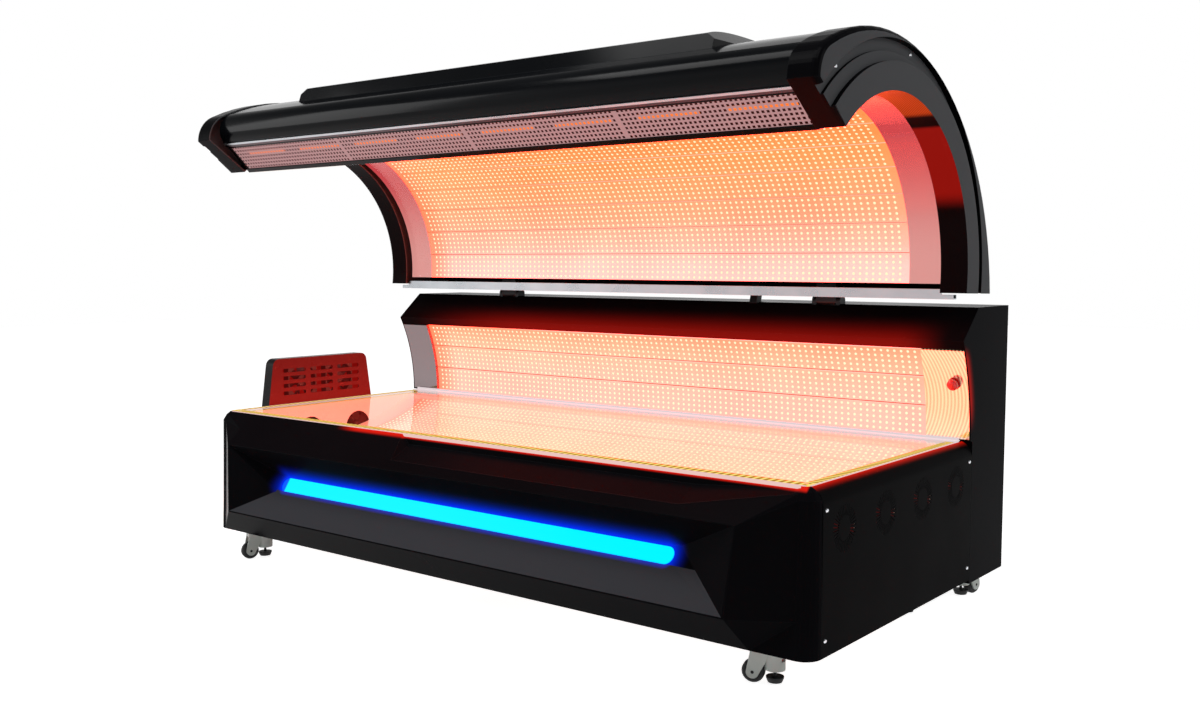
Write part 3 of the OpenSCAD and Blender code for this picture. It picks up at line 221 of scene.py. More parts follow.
# ABS collar and polycarbonate head of the stop button, faintly lit from inside
collarLook = {"dark": "#8f1210", "light": "#b01a16", "cloud": 14, "grain": 0.9, "rough": (0.26, 0.36), "relief": 0.06,
              "edge": 0.5, "sockets": {"Emission Color": linear("#ff2010"), "Emission Strength": 0.05}}
buttonLook = {"dark": "#a81310", "light": "#c81e19", "cloud": 14, "grain": 0.9, "rough": (0.18, 0.28), "relief": 0.05,
              "edge": 0.8, "sockets": {"Emission Color": linear("#ff2a18"), "Emission Strength": 0.08}}
# Moulded ABS fan box
boxLook = {"dark": "#0a0a0b", "light": "#101012", "worn": "#343438", "cloud": 70, "grain": 1.6, "rough": (0.24, 0.34),
           "relief": 0.06, "edge": 1.5, "sockets": {"IOR": 1.2}}
# Zinc-coated steel cases of the power units: spangled grey
caseLook = {"dark": "#8b8f92", "light": "#a3a7aa", "cloud": 30, "grain": 3.0, "rough": (0.3, 0.5), "relief": 0.1,
            "sockets": {"Metallic": 0.9}}
# Anodised actuator tube and its ground steel rod
actuatorLook = {"dark": "#4d5155", "light": "#61666a", "cloud": 40, "grain": 1.0, "rough": (0.25, 0.35), "relief": 0.05,
                "sockets": {"Metallic": 1.0}}

castors = range(1, 7)
plainFinishes = [
    ("powderCoatedCover", coverLook, ["column_rear_cover"]),
    ("polishedAbsShell", shellLook, ["canopy_shell"]),
    ("powderCoatedTube", tubeLook, ["base_frame", "canopy_ribs"]),
    ("zincPlatedScrew", screwLook, ["panel_screws", "canopy_screws"]),
    ("castCarrier", carrierLook, ["light_bar_carrier"]),
    ("whitePaintedTray", trayLook, ["led_tray"]),
    ("whitePaintedTrim", trimLook, ["column_ledge_trim"]),
    ("glassFilledNylon", fanLook, ["cooling_fans"]),
    ("blackOxideSteel", hingeLook, ["hinge_brackets", "hinge_arms"]),
    ("zincCoatedCase", caseLook, ["power_units"]),
    ("anodisedActuator", actuatorLook, ["actuator_tube", "actuator_rod"]),
    ("absCollar", collarLook, ["button_collar"]),
    ("polycarbonateButton", buttonLook, ["button_head"]),
    ("mouldedNylonFork", forkLook, [f"castor_{i}_body" for i in castors]),
    ("rubberTread", treadLook, [f"castor_{i}_{part}" for i in castors for part in ("wheel", "pad")]),
    ("acetalDial", dialLook, [f"castor_{i}_dial" for i in castors]),
]
for name, look, names in plainFinishes:
    paint(surface(name, look)[0], *names)
print("plain finishes made")


# The boards' red is far over white level, so they look peach while the light they cast is red
ledLight = {
    "boardPower": 5.0,
    "dotPower": 8.0,
    "dotPale": 1.25,         # how far past its colour a dot goes, to stay bright when it is small
    "pitch": 20.0,           # mm between LEDs along the bed
    "radius": 4.2,           # mm, one LED's lens
    "height": 1.6,           # mm
    "sides": 6,
    "bevel": 0.8,            # of its height
    "rows": 5,               # rows of LEDs on a board
    "rowShare": 0.19,        # of a board's width, from row to row
    "warm": "#ff8650",       # the head end, where the boards are seen along their surface
    "warmEnd": 0.13,         # metres
    "warmShare": 0.75,
    "seam": "#ffd9c8",
    "seamShare": 0.014,      # of a board's width
    "seamFade": (-0.75, -0.25),
}
boardLook = {"sockets": {"Roughness": 0.45, "Base Color": linear("#5c2418"), "IOR": 1.3},
             "cloud": 240, "cloudDim": (0.93, 1.07), "speck": 5, "speckDim": (0.95, 1.05),
             "detail": 2.0, "weave": 0.1, "weaveDepth": 0.0003, "litBelow": 0.1}
dotLook = {"sockets": {"Base Color": linear("#6a5a40"), "IOR": 1.41}, "grain": 1.5, "detail": 2.0, "rough": (0.2, 0.4)}
# Each field is an arc in (y, z), in mm and degrees; tones are (angle, colour) across it
fields = {
    "bed": {"node": "bed_led_boards", "centre": (-83.5, 1065.5), "radius": 700.0, "from": -119.94, "to": -60.06,
            "strips": 9, "half": 972, "body": "base", "dot": "#ffeec8",
            "tones": [(-120, "#fbdebc"), (-90, "#fbdeba"), (-60, "#f9dcc8")]},
    "column": {"node": "column_led_boards", "centre": (-231.0, 490.0), "radius": 591.0, "from": -0.45, "to": 23.96,
               "strips": 3, "half": 972, "body": "base", "dot": "#ffedc8",
               "tones": [(0, "#fad2c4"), (10, "#fccfba"), (18, "#fcc7a6"), (24, "#fbb088")]},
    "canopy": {"node": "canopy_led_boards", "centre": (-124.0, 945.0), "radius": 421.0, "from": -5.0, "to": 132.0,
               "strips": 12, "half": 938, "body": "canopy", "dot": "#ffe9c0",
               "tones": [(-5, "#f4dcd6"), (2, "#f6d6ce"), (10, "#f9c4b0"), (22, "#fab28c"), (35, "#fbac76"),
                         (50, "#fba35c"), (70, "#fb9448")]},
}


# green and blue are divided by the power, so only the red passes white level
def overRed(code, power):
    red, green, blue, one = linear(code)
    return (red, green / power, blue / power, one)


# Glass-fibre boards with a white mask, lit by their own LEDs
def boardFinish(name, field):
    power = ledLight["boardPower"]
    made, tree, shader = newFinish(name, {**boardLook["sockets"], "Emission Strength": power})
    place = addNode(tree, "TexCoord").outputs["Object"]
    flat = aroundLine(tree, place, [c / 1000 for c in field["centre"]])
    parts = addNode(tree, "SeparateXYZ", {0: flat}).outputs
    angle = addNode(tree, "Math", {0: parts["Z"], 1: parts["Y"]}, operation="ARCTAN2").outputs[0]
    first, last = math.radians(field["from"]), math.radians(field["to"])
    share = addNode(tree, "MapRange", {0: angle, 1: first, 2: last}).outputs[0]
    ramp = addNode(tree, "ValToRGB", {0: share})
    points = ramp.color_ramp.elements
    while len(points) < len(field["tones"]):
        points.new(1.0)
    for point, (at, shown) in zip(points, field["tones"]):
        point.position = min(max((at - field["from"]) / (field["to"] - field["from"]), 0), 1)
        point.color = overRed(shown, power)
    half = field["half"] / 1000
    warm = allOf(tree, across(tree, place, "X", -half + ledLight["warmEnd"], -half), ledLight["warmShare"])
    shown = addNode(tree, "Mix", {0: warm, 6: ramp.outputs["Color"], 7: overRed(ledLight["warm"], power)},
                    data_type="RGBA").outputs[2]
    # cut edges of the boards: a painted pale highlight along each seam, lost in the glare at the head end
    count = addNode(tree, "Math", {0: share, 1: field["strips"]}, operation="MULTIPLY").outputs[0]
    within = addNode(tree, "Math", {0: count, 1: 0.5}, operation="PINGPONG").outputs[0]
    cut = addNode(tree, "Math", {0: within, 1: ledLight["seamShare"]}, operation="LESS_THAN").outputs[0]
    pale = allOf(tree, cut, across(tree, place, "X", *ledLight["seamFade"]))
    shown = addNode(tree, "Mix", {0: pale, 6: shown, 7: overRed(ledLight["seam"], power)}, data_type="RGBA").outputs[2]
    # weave and solder mask: cloudy patches and fine specks that change the light a little
    noise, shares = {}, []
    for part in ("cloud", "speck"):
        noise[part] = addNode(tree, "TexNoise", {"Vector": place, "Scale": 1000 / boardLook[part],
                                                 "Detail": boardLook["detail"]}).outputs["Fac"]
        low, high = boardLook[part + "Dim"]
        shares.append(addNode(tree, "MapRange", {0: noise[part], **noiseSpan, 3: low, 4: high}).outputs[0])
    bump = addNode(tree, "Bump", {"Height": noise["speck"], "Strength": boardLook["weave"],
                                  "Distance": boardLook["weaveDepth"]})
    tree.links.new(bump.outputs["Normal"], shader.inputs["Normal"])
    # only the side towards the user is lit
    normal = addNode(tree, "NewGeometry").outputs["Normal"]
    outward = addNode(tree, "VectorMath", {0: flat, 1: normal}, operation="DOT_PRODUCT").outputs["Value"]
    inside = addNode(tree, "Math", {0: outward, 1: boardLook["litBelow"]}, operation="LESS_THAN").outputs[0]
    light = addNode(tree, "VectorMath", {0: shown, "Scale": allOf(tree, *shares, inside)}, operation="SCALE").outputs[0]
    tree.links.new(light, shader.inputs["Emission Color"])
    return made


# Clear silicone lenses: small cream lights with a soft sheen
def lensDotFinish(name, shown):
    power = ledLight["dotPower"]
    made, tree, shader = newFinish(name, {**dotLook["sockets"], "Emission Strength": power,
                                          "Emission Color": overRed(shown, power / ledLight["dotPale"])})
    place = addNode(tree, "TexCoord").outputs["Object"]
    grain = addNode(tree, "TexNoise", {"Vector": place, "Scale": 1000 / dotLook["grain"],
                                       "Detail": dotLook["detail"]}).outputs["Fac"]
    low, high = dotLook["rough"]
    rough = addNode(tree, "MapRange", {0: grain, **noiseSpan, 3: low, 4: high}).outputs[0]
    tree.links.new(rough, shader.inputs["Roughness"])
    made.cycles.emission_sampling = "NONE"  # the boards already light the scene
    return made


# one LED with a domed rim, set in a row along the bed and spun about the field's centre line
def ledField(name, field):
    cy, cz = (c / 1000 for c in field["centre"])
    height, radius, pitch = (ledLight[part] / 1000 for part in ("height", "radius", "pitch"))
    count = int(2 * field["half"] / ledLight["pitch"]) - 1
    start = (-(count - 1) / 2 * pitch, cy, cz + field["radius"] / 1000 - height / 2)
    bpy.ops.object.select_all(action="DESELECT")
    bpy.ops.mesh.primitive_cylinder_add(vertices=ledLight["sides"], radius=radius, depth=height, location=start)
    led = bpy.context.object
    led.name = name
    bpy.ops.object.transform_apply(location=True)
    # the face towards the centre line, which points down while the row is at the top
    bpy.ops.object.mode_set(mode="EDIT")
    bpy.ops.mesh.select_mode(type="FACE")
    bpy.ops.mesh.select_all(action="DESELECT")
    bpy.ops.object.mode_set(mode="OBJECT")
    for face in led.data.polygons:
        face.select = face.normal.z < -0.5
    bpy.ops.object.mode_set(mode="EDIT")
    bpy.ops.mesh.bevel(offset=height * ledLight["bevel"], segments=1, affect="EDGES")
    bpy.ops.object.mode_set(mode="OBJECT")
    row = led.modifiers.new("row", "ARRAY")
    row.count = count
    row.use_relative_offset = False
    row.use_constant_offset = True
    row.constant_offset_displace = (pitch, 0, 0)
    bpy.ops.object.modifier_apply(modifier="row")
    step = (field["to"] - field["from"]) / field["strips"]
    reach = ledLight["rowShare"] * (ledLight["rows"] - 1)
    turn = field["from"] + (1 - reach) / 2 * step - 90  # the row was made at the top, at 90 degrees
    bpy.ops.object.mode_set(mode="EDIT")
    bpy.ops.mesh.select_all(action="SELECT")
    bpy.ops.transform.rotate(value=-math.radians(turn), orient_axis="X", center_override=(0, cy, cz))
    bpy.ops.mesh.spin(steps=ledLight["rows"] - 1, dupli=True, angle=-math.radians(reach * step),
                      center=(0, cy, cz), axis=(1, 0, 0))
    bpy.ops.mesh.select_all(action="SELECT")
    bpy.ops.mesh.spin(steps=field["strips"] - 1, dupli=True, angle=-math.radians(step * (field["strips"] - 1)),
                      center=(0, cy, cz), axis=(1, 0, 0))
    bpy.ops.object.mode_set(mode="OBJECT")
    led.data.materials.append(lensDotFinish(name + "Lens", field["dot"]))
    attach(led, field["body"])
    print(name, len(led.data.polygons), "faces")


for key, field in fields.items():
    paint(boardFinish(key + "Board", field), field["node"])
    ledField(key + "_leds", field)


# Fascia: the satin lower facet, its grey partly painted light where it faces up, the light bar's painted blue halo and
# a painted red line of light under the sheet
lightBar = {
    "half": 0.717, "halfHeight": 0.023, "middle": 0.281,      # straight part, and the height of its middle
    "halo": "#0030ff", "haloReach": 0.055, "haloPower": 0.9, "haloFall": 3.2,
    "edge": "#0018a8", "edgeReach": 0.009, "overlap": 0.002, "front": (-0.499, -0.501),
    "shown": "#00f8ff", "rim": "#00b4f8", "tip": "#0058e8", "power": 2.0,
    "blueShare": 1.6, "rimWidth": 0.006, "tipStart": 0.002, "tipEnd": 0.006,
}
lensLook = {"sockets": {"Roughness": 0.3, "Base Color": linear("#00202a"), "IOR": 1.1},
            "cloud": 25, "detail": 2.0, "rimShare": (0.7, 1.0)}
fasciaTint = {
    "litFacet": "#404145", "facetTop": 0.262, "facetRough": 0.42, "upward": 0.3, "sideways": 0.1,
    "glowLine": "#e01a06", "lineStart": (-0.52, -0.42), "lineEnd": (1.072, 1.066),
    "lineDepth": (-0.511, -0.499), "lineRise": (0.464, 0.471),
}
# the same painted red glow along the side panels' top edges
panelTint = {"side": (1.096, 1.068), "rise": (0.462, 0.472), "fall": 2.2, "power": 0.85}


# distance from the straight middle line of the light bar
def fromBar(tree, place):
    parts = addNode(tree, "SeparateXYZ", {0: place}).outputs
    along = addNode(tree, "Math", {0: parts["X"]}, operation="ABSOLUTE").outputs[0]
    beyond = addNode(tree, "Math", {0: along, 1: lightBar["half"]}, operation="SUBTRACT").outputs[0]
    beyond = addNode(tree, "Math", {0: beyond, 1: 0.0}, operation="MAXIMUM").outputs[0]
    height = addNode(tree, "Math", {0: parts["Z"], 1: lightBar["middle"]}, operation="SUBTRACT").outputs[0]
    offset = addNode(tree, "CombineXYZ", {0: beyond, 2: height}).outputs[0]
    return addNode(tree, "VectorMath", {0: offset}, operation="LENGTH").outputs["Value"]


def fasciaFinish():
    made, tree, shader, place = surface("polishedAbsFascia", fasciaLook)
    facing = addNode(tree, "SeparateXYZ", {0: addNode(tree, "NewGeometry").outputs["Normal"]}).outputs["X"]
    straight = addNode(tree, "Math", {0: facing, 1: 0.0, 2: fasciaTint["sideways"]}, operation="COMPARE").outputs[0]
    # the upward lower facet: satin, its grey partly painted light caught on its upward face
    litFacet = allOf(tree, turned(tree, "Z", fasciaTint["upward"]), straight,
                  across(tree, place, "Z", fasciaTint["facetTop"] + 0.001, fasciaTint["facetTop"]))
    retint(tree, shader, "Base Color", litFacet, fasciaTint["litFacet"])
    retint(tree, shader, "Roughness", litFacet, fasciaTint["facetRough"])
    # painted blue light of the bar on the fascia: a wide halo above the facet and a narrow edge on the facet
    away = fromBar(tree, place)
    rim = lightBar["halfHeight"] - lightBar["overlap"]
    wide = addNode(tree, "MapRange", {0: away, 1: rim, 2: rim + lightBar["haloReach"], 3: 1.0, 4: 0.0}).outputs[0]
    wide = addNode(tree, "Math", {0: wide, 1: lightBar["haloFall"]}, operation="POWER").outputs[0]
    narrow = addNode(tree, "MapRange", {0: away, 1: rim, 2: rim + lightBar["edgeReach"], 3: 1.0, 4: 0.0}).outputs[0]
    front = across(tree, place, "Y", *lightBar["front"])
    above = addNode(tree, "Math", {0: 1.0, 1: litFacet}, operation="SUBTRACT").outputs[0]
    # a painted red line of light along the fascia's top edge, under the sheet
    glowLine = allOf(tree, across(tree, place, "Y", *fasciaTint["lineDepth"]),
                 across(tree, place, "Z", *fasciaTint["lineRise"]),
                 across(tree, place, "X", *fasciaTint["lineStart"]), across(tree, place, "X", *fasciaTint["lineEnd"]))
    shine(tree, shader, 1.0, (lightBar["halo"], allOf(tree, wide, front, above, lightBar["haloPower"])),
          (lightBar["edge"], allOf(tree, narrow, front, litFacet)), (fasciaTint["glowLine"], glowLine))
    return made


# Opal cyan acrylic lens, lit from behind: even in the middle, bluer at its rim and tips
def lensFinish():
    power = lightBar["power"]
    made, tree, shader = newFinish("opalCyanLens", {**lensLook["sockets"], "Emission Strength": power})
    place = addNode(tree, "TexCoord").outputs["Object"]
    away = fromBar(tree, place)
    cloud = addNode(tree, "TexNoise", {"Vector": place, "Scale": 1000 / lensLook["cloud"],
                                       "Detail": lensLook["detail"]}).outputs["Fac"]
    outer = lightBar["halfHeight"]
    rim = addNode(tree, "MapRange", {0: away, 1: outer - lightBar["rimWidth"], 2: outer}).outputs[0]
    low, high = lensLook["rimShare"]
    rim = allOf(tree, rim, addNode(tree, "MapRange", {0: cloud, **noiseSpan, 3: low, 4: high}).outputs[0])
    tones = {}
    for part in ("shown", "rim", "tip"):
        red, green, blue, one = linear(lightBar[part])
        tones[part] = (red, green / power, blue / power * lightBar["blueShare"], one)
    tint = addNode(tree, "Mix", {0: rim, 6: tones["shown"], 7: tones["rim"]}, data_type="RGBA").outputs[2]
    half = lightBar["half"]
    tips = across(tree, place, "X", -half + lightBar["tipStart"], -half - lightBar["tipEnd"])
    tint = addNode(tree, "Mix", {0: tips, 6: tint, 7: tones["tip"]}, data_type="RGBA").outputs[2]
    tree.links.new(tint, shader.inputs["Emission Color"])
    return made


# the side panels' top edges catch red light from under the sheet
def sidePanelFinish():
    made, tree, shader, place = surface("powderCoatedPanel", panelLook)
    along = addNode(tree, "VectorMath", {0: place}, operation="ABSOLUTE").outputs[0]
    lit = allOf(tree, across(tree, along, "X", *panelTint["side"]), across(tree, place, "Z", *panelTint["rise"]))
    lit = addNode(tree, "Math", {0: lit, 1: panelTint["fall"]}, operation="POWER").outputs[0]
    shine(tree, shader, panelTint["power"], (fasciaTint["glowLine"], lit))
    return made


paint(fasciaFinish(), "front_fascia")
paint(sidePanelFinish(), "side_panel_right", "side_panel_left")
paint(lensFinish(), "light_bar_lens")
print("fascia made")


# Cast acrylic, 9 mm, with polished edges
sheetLook = {"tint": "#fff8f4", "gloss": 0.02, "ior": 1.36, "mirroring": 0.6}
# Drape-formed acrylic covers, 3 mm
formedLook = {"tint": "#fffaf7", "gloss": 0.06, "ior": 1.2, "mirroring": 0.8}
smearShape = {"size": 160, "detail": 3.0, "span": (0.35, 0.7), "spread": 2.5, "wave": 0.02, "waveDepth": 0.001}
sheetEdge = {"front": -0.495, "frontBand": 0.040, "side": 1.070, "sideBand": 0.030, "rim": 0.004, "pitch": 0.020,
             "bright": "#ffe27c", "dim": "#b5802a", "pink": "#ecc6bf", "bandStart": 0.8, "rimStart": 0.7,
             "dash": (-0.4, 0.6)}


# bright dashes at the LEDs' pitch along an axis
def dashes(tree, place, axis):
    along = addNode(tree, "SeparateXYZ", {0: place}).outputs[axis]
    turn = addNode(tree, "Math", {0: along, 1: 2 * math.pi / sheetEdge["pitch"]}, operation="MULTIPLY").outputs[0]
    wave = addNode(tree, "Math", {0: turn}, operation="SINE").outputs[0]
    start, full = sheetEdge["dash"]
    return addNode(tree, "MapRange", {0: wave, 1: start, 2: full}).outputs[0]


# Clear sheets show what is behind them, and their outer side mirrors the room near a glancing angle
def clearSheet(name, look):
    made = bpy.data.materials.new(name)
    made.use_nodes = True
    tree = made.node_tree
    tree.nodes.remove(tree.nodes["Principled BSDF"])
    place = addNode(tree, "TexCoord").outputs["Object"]
    smear = addNode(tree, "TexNoise", {"Vector": place, "Scale": 1000 / smearShape["size"],
                                       "Detail": smearShape["detail"]}).outputs["Fac"]
    start, full = smearShape["span"]
    rough = addNode(tree, "MapRange", {0: smear, 1: start, 2: full, 3: look["gloss"],
                                       4: look["gloss"] * smearShape["spread"]}).outputs[0]
    wave = addNode(tree, "Bump", {"Height": smear, "Strength": smearShape["wave"],
                                  "Distance": smearShape["waveDepth"]}).outputs["Normal"]
    through = addNode(tree, "BsdfTransparent", {"Color": linear(look["tint"])}).outputs[0]
    mirror = addNode(tree, "BsdfGlossy", {"Color": (1, 1, 1, 1), "Roughness": rough, "Normal": wave}).outputs[0]
    behind = addNode(tree, "NewGeometry").outputs["Backfacing"]
    outer = addNode(tree, "Math", {0: look["mirroring"], 1: behind}, operation="SUBTRACT", use_clamp=True).outputs[0]
    share = allOf(tree, addNode(tree, "Fresnel", {"IOR": look["ior"]}).outputs[0], outer)
    glass = addNode(tree, "MixShader", {0: share, 1: through, 2: mirror}).outputs[0]
    tree.links.new(glass, tree.nodes["Material Output"].inputs["Surface"])
    return made, tree, place, glass


# the polished edge gathers the LEDs' light: gold dashes inside a thin pink rim, at the front and both sides
def edgeLitSheet(name, look):
    made, tree, place, glass = clearSheet(name, look)
    along = addNode(tree, "VectorMath", {0: place}, operation="ABSOLUTE").outputs[0]
    front, side, rim = sheetEdge["front"], sheetEdge["side"], sheetEdge["rim"]
    bandStart, rimStart = sheetEdge["bandStart"], sheetEdge["rimStart"]
    frontBand = across(tree, place, "Y", front + sheetEdge["frontBand"], front + sheetEdge["frontBand"] * bandStart)
    sideBand = across(tree, along, "X", side - sheetEdge["sideBand"], side - sheetEdge["sideBand"] * bandStart)
    band = addNode(tree, "Math", {0: frontBand, 1: sideBand}, operation="MAXIMUM").outputs[0]
    frontDash = allOf(tree, frontBand, dashes(tree, place, "X"))
    sideDash = allOf(tree, sideBand, dashes(tree, place, "Y"))
    dash = addNode(tree, "Math", {0: frontDash, 1: sideDash}, operation="MAXIMUM").outputs[0]
    gold = addNode(tree, "Mix", {0: dash, 6: linear(sheetEdge["dim"]), 7: linear(sheetEdge["bright"])},
                   data_type="RGBA").outputs[2]
    lit = addNode(tree, "Emission", {"Color": gold}).outputs[0]
    glass = addNode(tree, "MixShader", {0: band, 1: glass, 2: lit}).outputs[0]
    rimFront = across(tree, place, "Y", front + rim, front + rim * rimStart)
    rimSide = across(tree, along, "X", side - rim, side - rim * rimStart)
    pink = addNode(tree, "Emission", {"Color": linear(sheetEdge["pink"])}).outputs[0]
    edge = addNode(tree, "Math", {0: rimFront, 1: rimSide}, operation="MAXIMUM").outputs[0]
    glass = addNode(tree, "MixShader", {0: edge, 1: glass, 2: pink}).outputs[0]
    tree.links.new(glass, tree.nodes["Material Output"].inputs["Surface"])
    return made


paint(edgeLitSheet("castAcrylicSheet", sheetLook), "bed_acrylic")
paint(clearSheet("formedAcrylicCover", formedLook)[0], "column_acrylic", "canopy_acrylic")
print("acrylic made")

# Column end strips: polished stainless, grey at the head end and mirroring the LEDs at the foot end
stripLook = {"dark": "#f6d6c4", "light": "#ffe6d8", "cloud": 120, "grain": 1.4, "rough": (0.06, 0.12), "relief": 0.02,
             "sockets": {"Metallic": 1.0}}
stripTint = {"head": "#7a6e6f", "middleBand": 0.1, "streak": "#ffe9b4", "pitch": 0.010, "bend": 2.2, "middle": 0.60,
             "span": (-0.6, 0.8), "power": 0.36}
# Canopy end strips: glossy moulding lit by the boards, pale pink below and red above
pinkLook = {"dark": "#1a0a0a", "light": "#220f0f", "cloud": 160, "grain": 2.0, "rough": (0.14, 0.24), "relief": 0.03,
            "sockets": {"IOR": 1.2}}
pinkTint = {"low": (0.95, "#d99a98"), "high": (1.33, "#c8464e")}


def stripFinish():
    made, tree, shader, place = surface("polishedStainlessStrip", stripLook)
    near = stripTint["middleBand"]
    retint(tree, shader, "Base Color", across(tree, place, "X", near, -near), stripTint["head"])
    # the LED rows, mirrored as bent streaks at the foot end
    parts = addNode(tree, "SeparateXYZ", {0: place}).outputs
    rise = addNode(tree, "Math", {0: parts["Z"], 1: stripTint["middle"]}, operation="SUBTRACT").outputs[0]
    square = addNode(tree, "Math", {0: rise, 1: rise}, operation="MULTIPLY").outputs[0]
    bent = addNode(tree, "Math", {0: square, 1: stripTint["bend"], 2: parts["X"]}, operation="MULTIPLY_ADD").outputs[0]
    turn = addNode(tree, "Math", {0: bent, 1: 2 * math.pi / stripTint["pitch"]}, operation="MULTIPLY").outputs[0]
    wave = addNode(tree, "Math", {0: turn}, operation="SINE").outputs[0]
    start, full = stripTint["span"]
    streak = addNode(tree, "MapRange", {0: wave, 1: start, 2: full}).outputs[0]
    shine(tree, shader, stripTint["power"],
          (stripTint["streak"], allOf(tree, streak, across(tree, place, "X", -near, near))))
    return made


def pinkFinish():
    made, tree, shader, place = surface("glossyPinkStrip", pinkLook)
    (low, pale), (high, deep) = pinkTint["low"], pinkTint["high"]
    shine(tree, shader, 1.0, (pale, across(tree, place, "Z", high, low)), (deep, across(tree, place, "Z", low, high)))
    return made


paint(stripFinish(), "column_filler_strips")
paint(pinkFinish(), "canopy_filler_strips")

# The column's brow and side walls catch the boards' red light beside them
browGlow = {
    "shown": "#b0140a", "low": 0.738, "high": 0.822, "fall": 1.7, "power": 0.55,
    "start": (0.722, 0.732), "back": (0.66, 0.40), "left": (-1.05, -0.45), "right": (1.06, 0.90),
    "wall": "#c8160a", "centre": (-0.231, 0.490), "reach": (0.622, 0.588), "wallFall": 2.5,
    "facing": 0.8, "wallStart": (0.50, 0.60), "wallEnd": (0.745, 0.70),
}


def housingFinish():
    made, tree, shader, place = surface("polishedAbsColumn", fasciaLook)
    climb = across(tree, place, "Z", browGlow["high"], browGlow["low"])
    climb = addNode(tree, "Math", {0: climb, 1: browGlow["fall"]}, operation="POWER").outputs[0]
    gates = [across(tree, place, "Z", *browGlow["start"]), across(tree, place, "Y", *browGlow["back"]),
             across(tree, place, "X", *browGlow["left"]), across(tree, place, "X", *browGlow["right"])]
    # a narrow red glow on the side walls beside the end strips
    flat = aroundLine(tree, place, browGlow["centre"])
    away = addNode(tree, "VectorMath", {0: flat}, operation="LENGTH").outputs["Value"]
    far, close = browGlow["reach"]
    near = addNode(tree, "MapRange", {0: away, 1: close, 2: far, 3: 1.0, 4: 0.0}).outputs[0]
    near = addNode(tree, "Math", {0: near, 1: browGlow["wallFall"]}, operation="POWER").outputs[0]
    wall = allOf(tree, near, turned(tree, "X", browGlow["facing"], eitherSide=True),
                 across(tree, place, "Z", *browGlow["wallStart"]), across(tree, place, "Z", *browGlow["wallEnd"]))
    shine(tree, shader, browGlow["power"], (browGlow["shown"], allOf(tree, climb, *gates)), (browGlow["wall"], wall))
    return made


paint(housingFinish(), "column_housing")

# End caps: a satin face turned to the side, and an inner wall at the foot end that mirrors the field in red
capGlow = {
    "face": "#4b4c4e", "facing": 0.9, "faceRough": 0.4,
    "centre": (-0.124, 0.945), "reach": 0.455, "inward": -0.2, "footEnd": (0.0, 0.1), "power": 0.8,
    "red": "#9c1109", "low": (1.100, 1.150), "high": (1.304, 1.296),
    "orange": "#e0480f", "top": (1.320, 1.330), "slant": (900.0, 900.0, 0.0), "stripe": (0.5, 1.0),
}


def capFinish():
    made, tree, shader, place = surface("mouldedAbsCap", capLook)
    face = turned(tree, "X", capGlow["facing"], eitherSide=True)
    retint(tree, shader, "Base Color", face, capGlow["face"])
    retint(tree, shader, "Roughness", face, capGlow["faceRough"])
    flat = aroundLine(tree, place, capGlow["centre"])
    away = addNode(tree, "VectorMath", {0: flat}, operation="LENGTH").outputs["Value"]
    normal = addNode(tree, "NewGeometry").outputs["Normal"]
    outward = addNode(tree, "VectorMath", {0: flat, 1: normal}, operation="DOT_PRODUCT").outputs["Value"]
    wall = allOf(tree, addNode(tree, "Math", {0: outward, 1: capGlow["inward"]}, operation="LESS_THAN").outputs[0],
                 addNode(tree, "Math", {0: away, 1: capGlow["reach"]}, operation="LESS_THAN").outputs[0],
                 across(tree, place, "X", *capGlow["footEnd"]))
    # the LED rows, mirrored as fine slanting stripes near the top
    slant = addNode(tree, "VectorMath", {0: place, 1: capGlow["slant"]}, operation="DOT_PRODUCT").outputs["Value"]
    wave = addNode(tree, "Math", {0: slant}, operation="SINE").outputs[0]
    dim, full = capGlow["stripe"]
    stripe = addNode(tree, "MapRange", {0: wave, 1: -1.0, 2: 1.0, 3: dim, 4: full}).outputs[0]
    red = allOf(tree, wall, across(tree, place, "Z", *capGlow["low"]), across(tree, place, "Z", *capGlow["high"]))
    orange = allOf(tree, wall, across(tree, place, "Z", *capGlow["top"]), stripe)
    shine(tree, shader, capGlow["power"], (capGlow["red"], red), (capGlow["orange"], orange))
    return made


paint(capFinish(), "end_cap_right", "end_cap_left")

# The fan box's face towards the bed catches the boards' red light
boxGlow = {"shown": "#8c0c09", "low": 0.47, "high": 0.66, "top": 0.6, "facing": 0.8}


def fanBoxFinish():
    made, tree, shader, place = surface("mouldedFanBox", boxLook)
    toward = turned(tree, "X", boxGlow["facing"])
    climb = across(tree, place, "Z", boxGlow["low"], boxGlow["high"])
    share = addNode(tree, "MapRange", {0: climb, 3: 1.0, 4: boxGlow["top"]}).outputs[0]
    shine(tree, shader, 1.0, (boxGlow["shown"], allOf(tree, toward, share)))
    return made


paint(fanBoxFinish(), "head_fan_box")
print("caps, column and fan box made")

# The front rail is bright along its upper lip, with painted shade of a dull red umber below it; the lower rail stays
# bright
railTint = {"shadeUmber": "#4c3d40", "lip": (1.3375, 1.3365), "lower": (1.2, 1.21)}


def railFinish():
    made, tree, shader, place = surface("anodisedRail", railLook)
    low = allOf(tree, across(tree, place, "Z", *railTint["lip"]), across(tree, place, "Z", *railTint["lower"]))
    # painted shade on the front rail below its upper lip
    retint(tree, shader, "Base Color", low, railTint["shadeUmber"])
    return made


paint(railFinish(), "canopy_rails")

# Perforated aluminium sheet, dark, with a painted rose glow standing in for the red light on it
grilleLook = {"dark": "#2e2426", "light": "#3a2d30", "cloud": 120, "grain": 1.0, "rough": (0.35, 0.5), "relief": 0.05,
              "sockets": {"IOR": 1.2, "Emission Color": linear("#b48a8a"), "Emission Strength": 0.9}}
paint(surface("perforatedAluminium", grilleLook)[0], "front_grille")

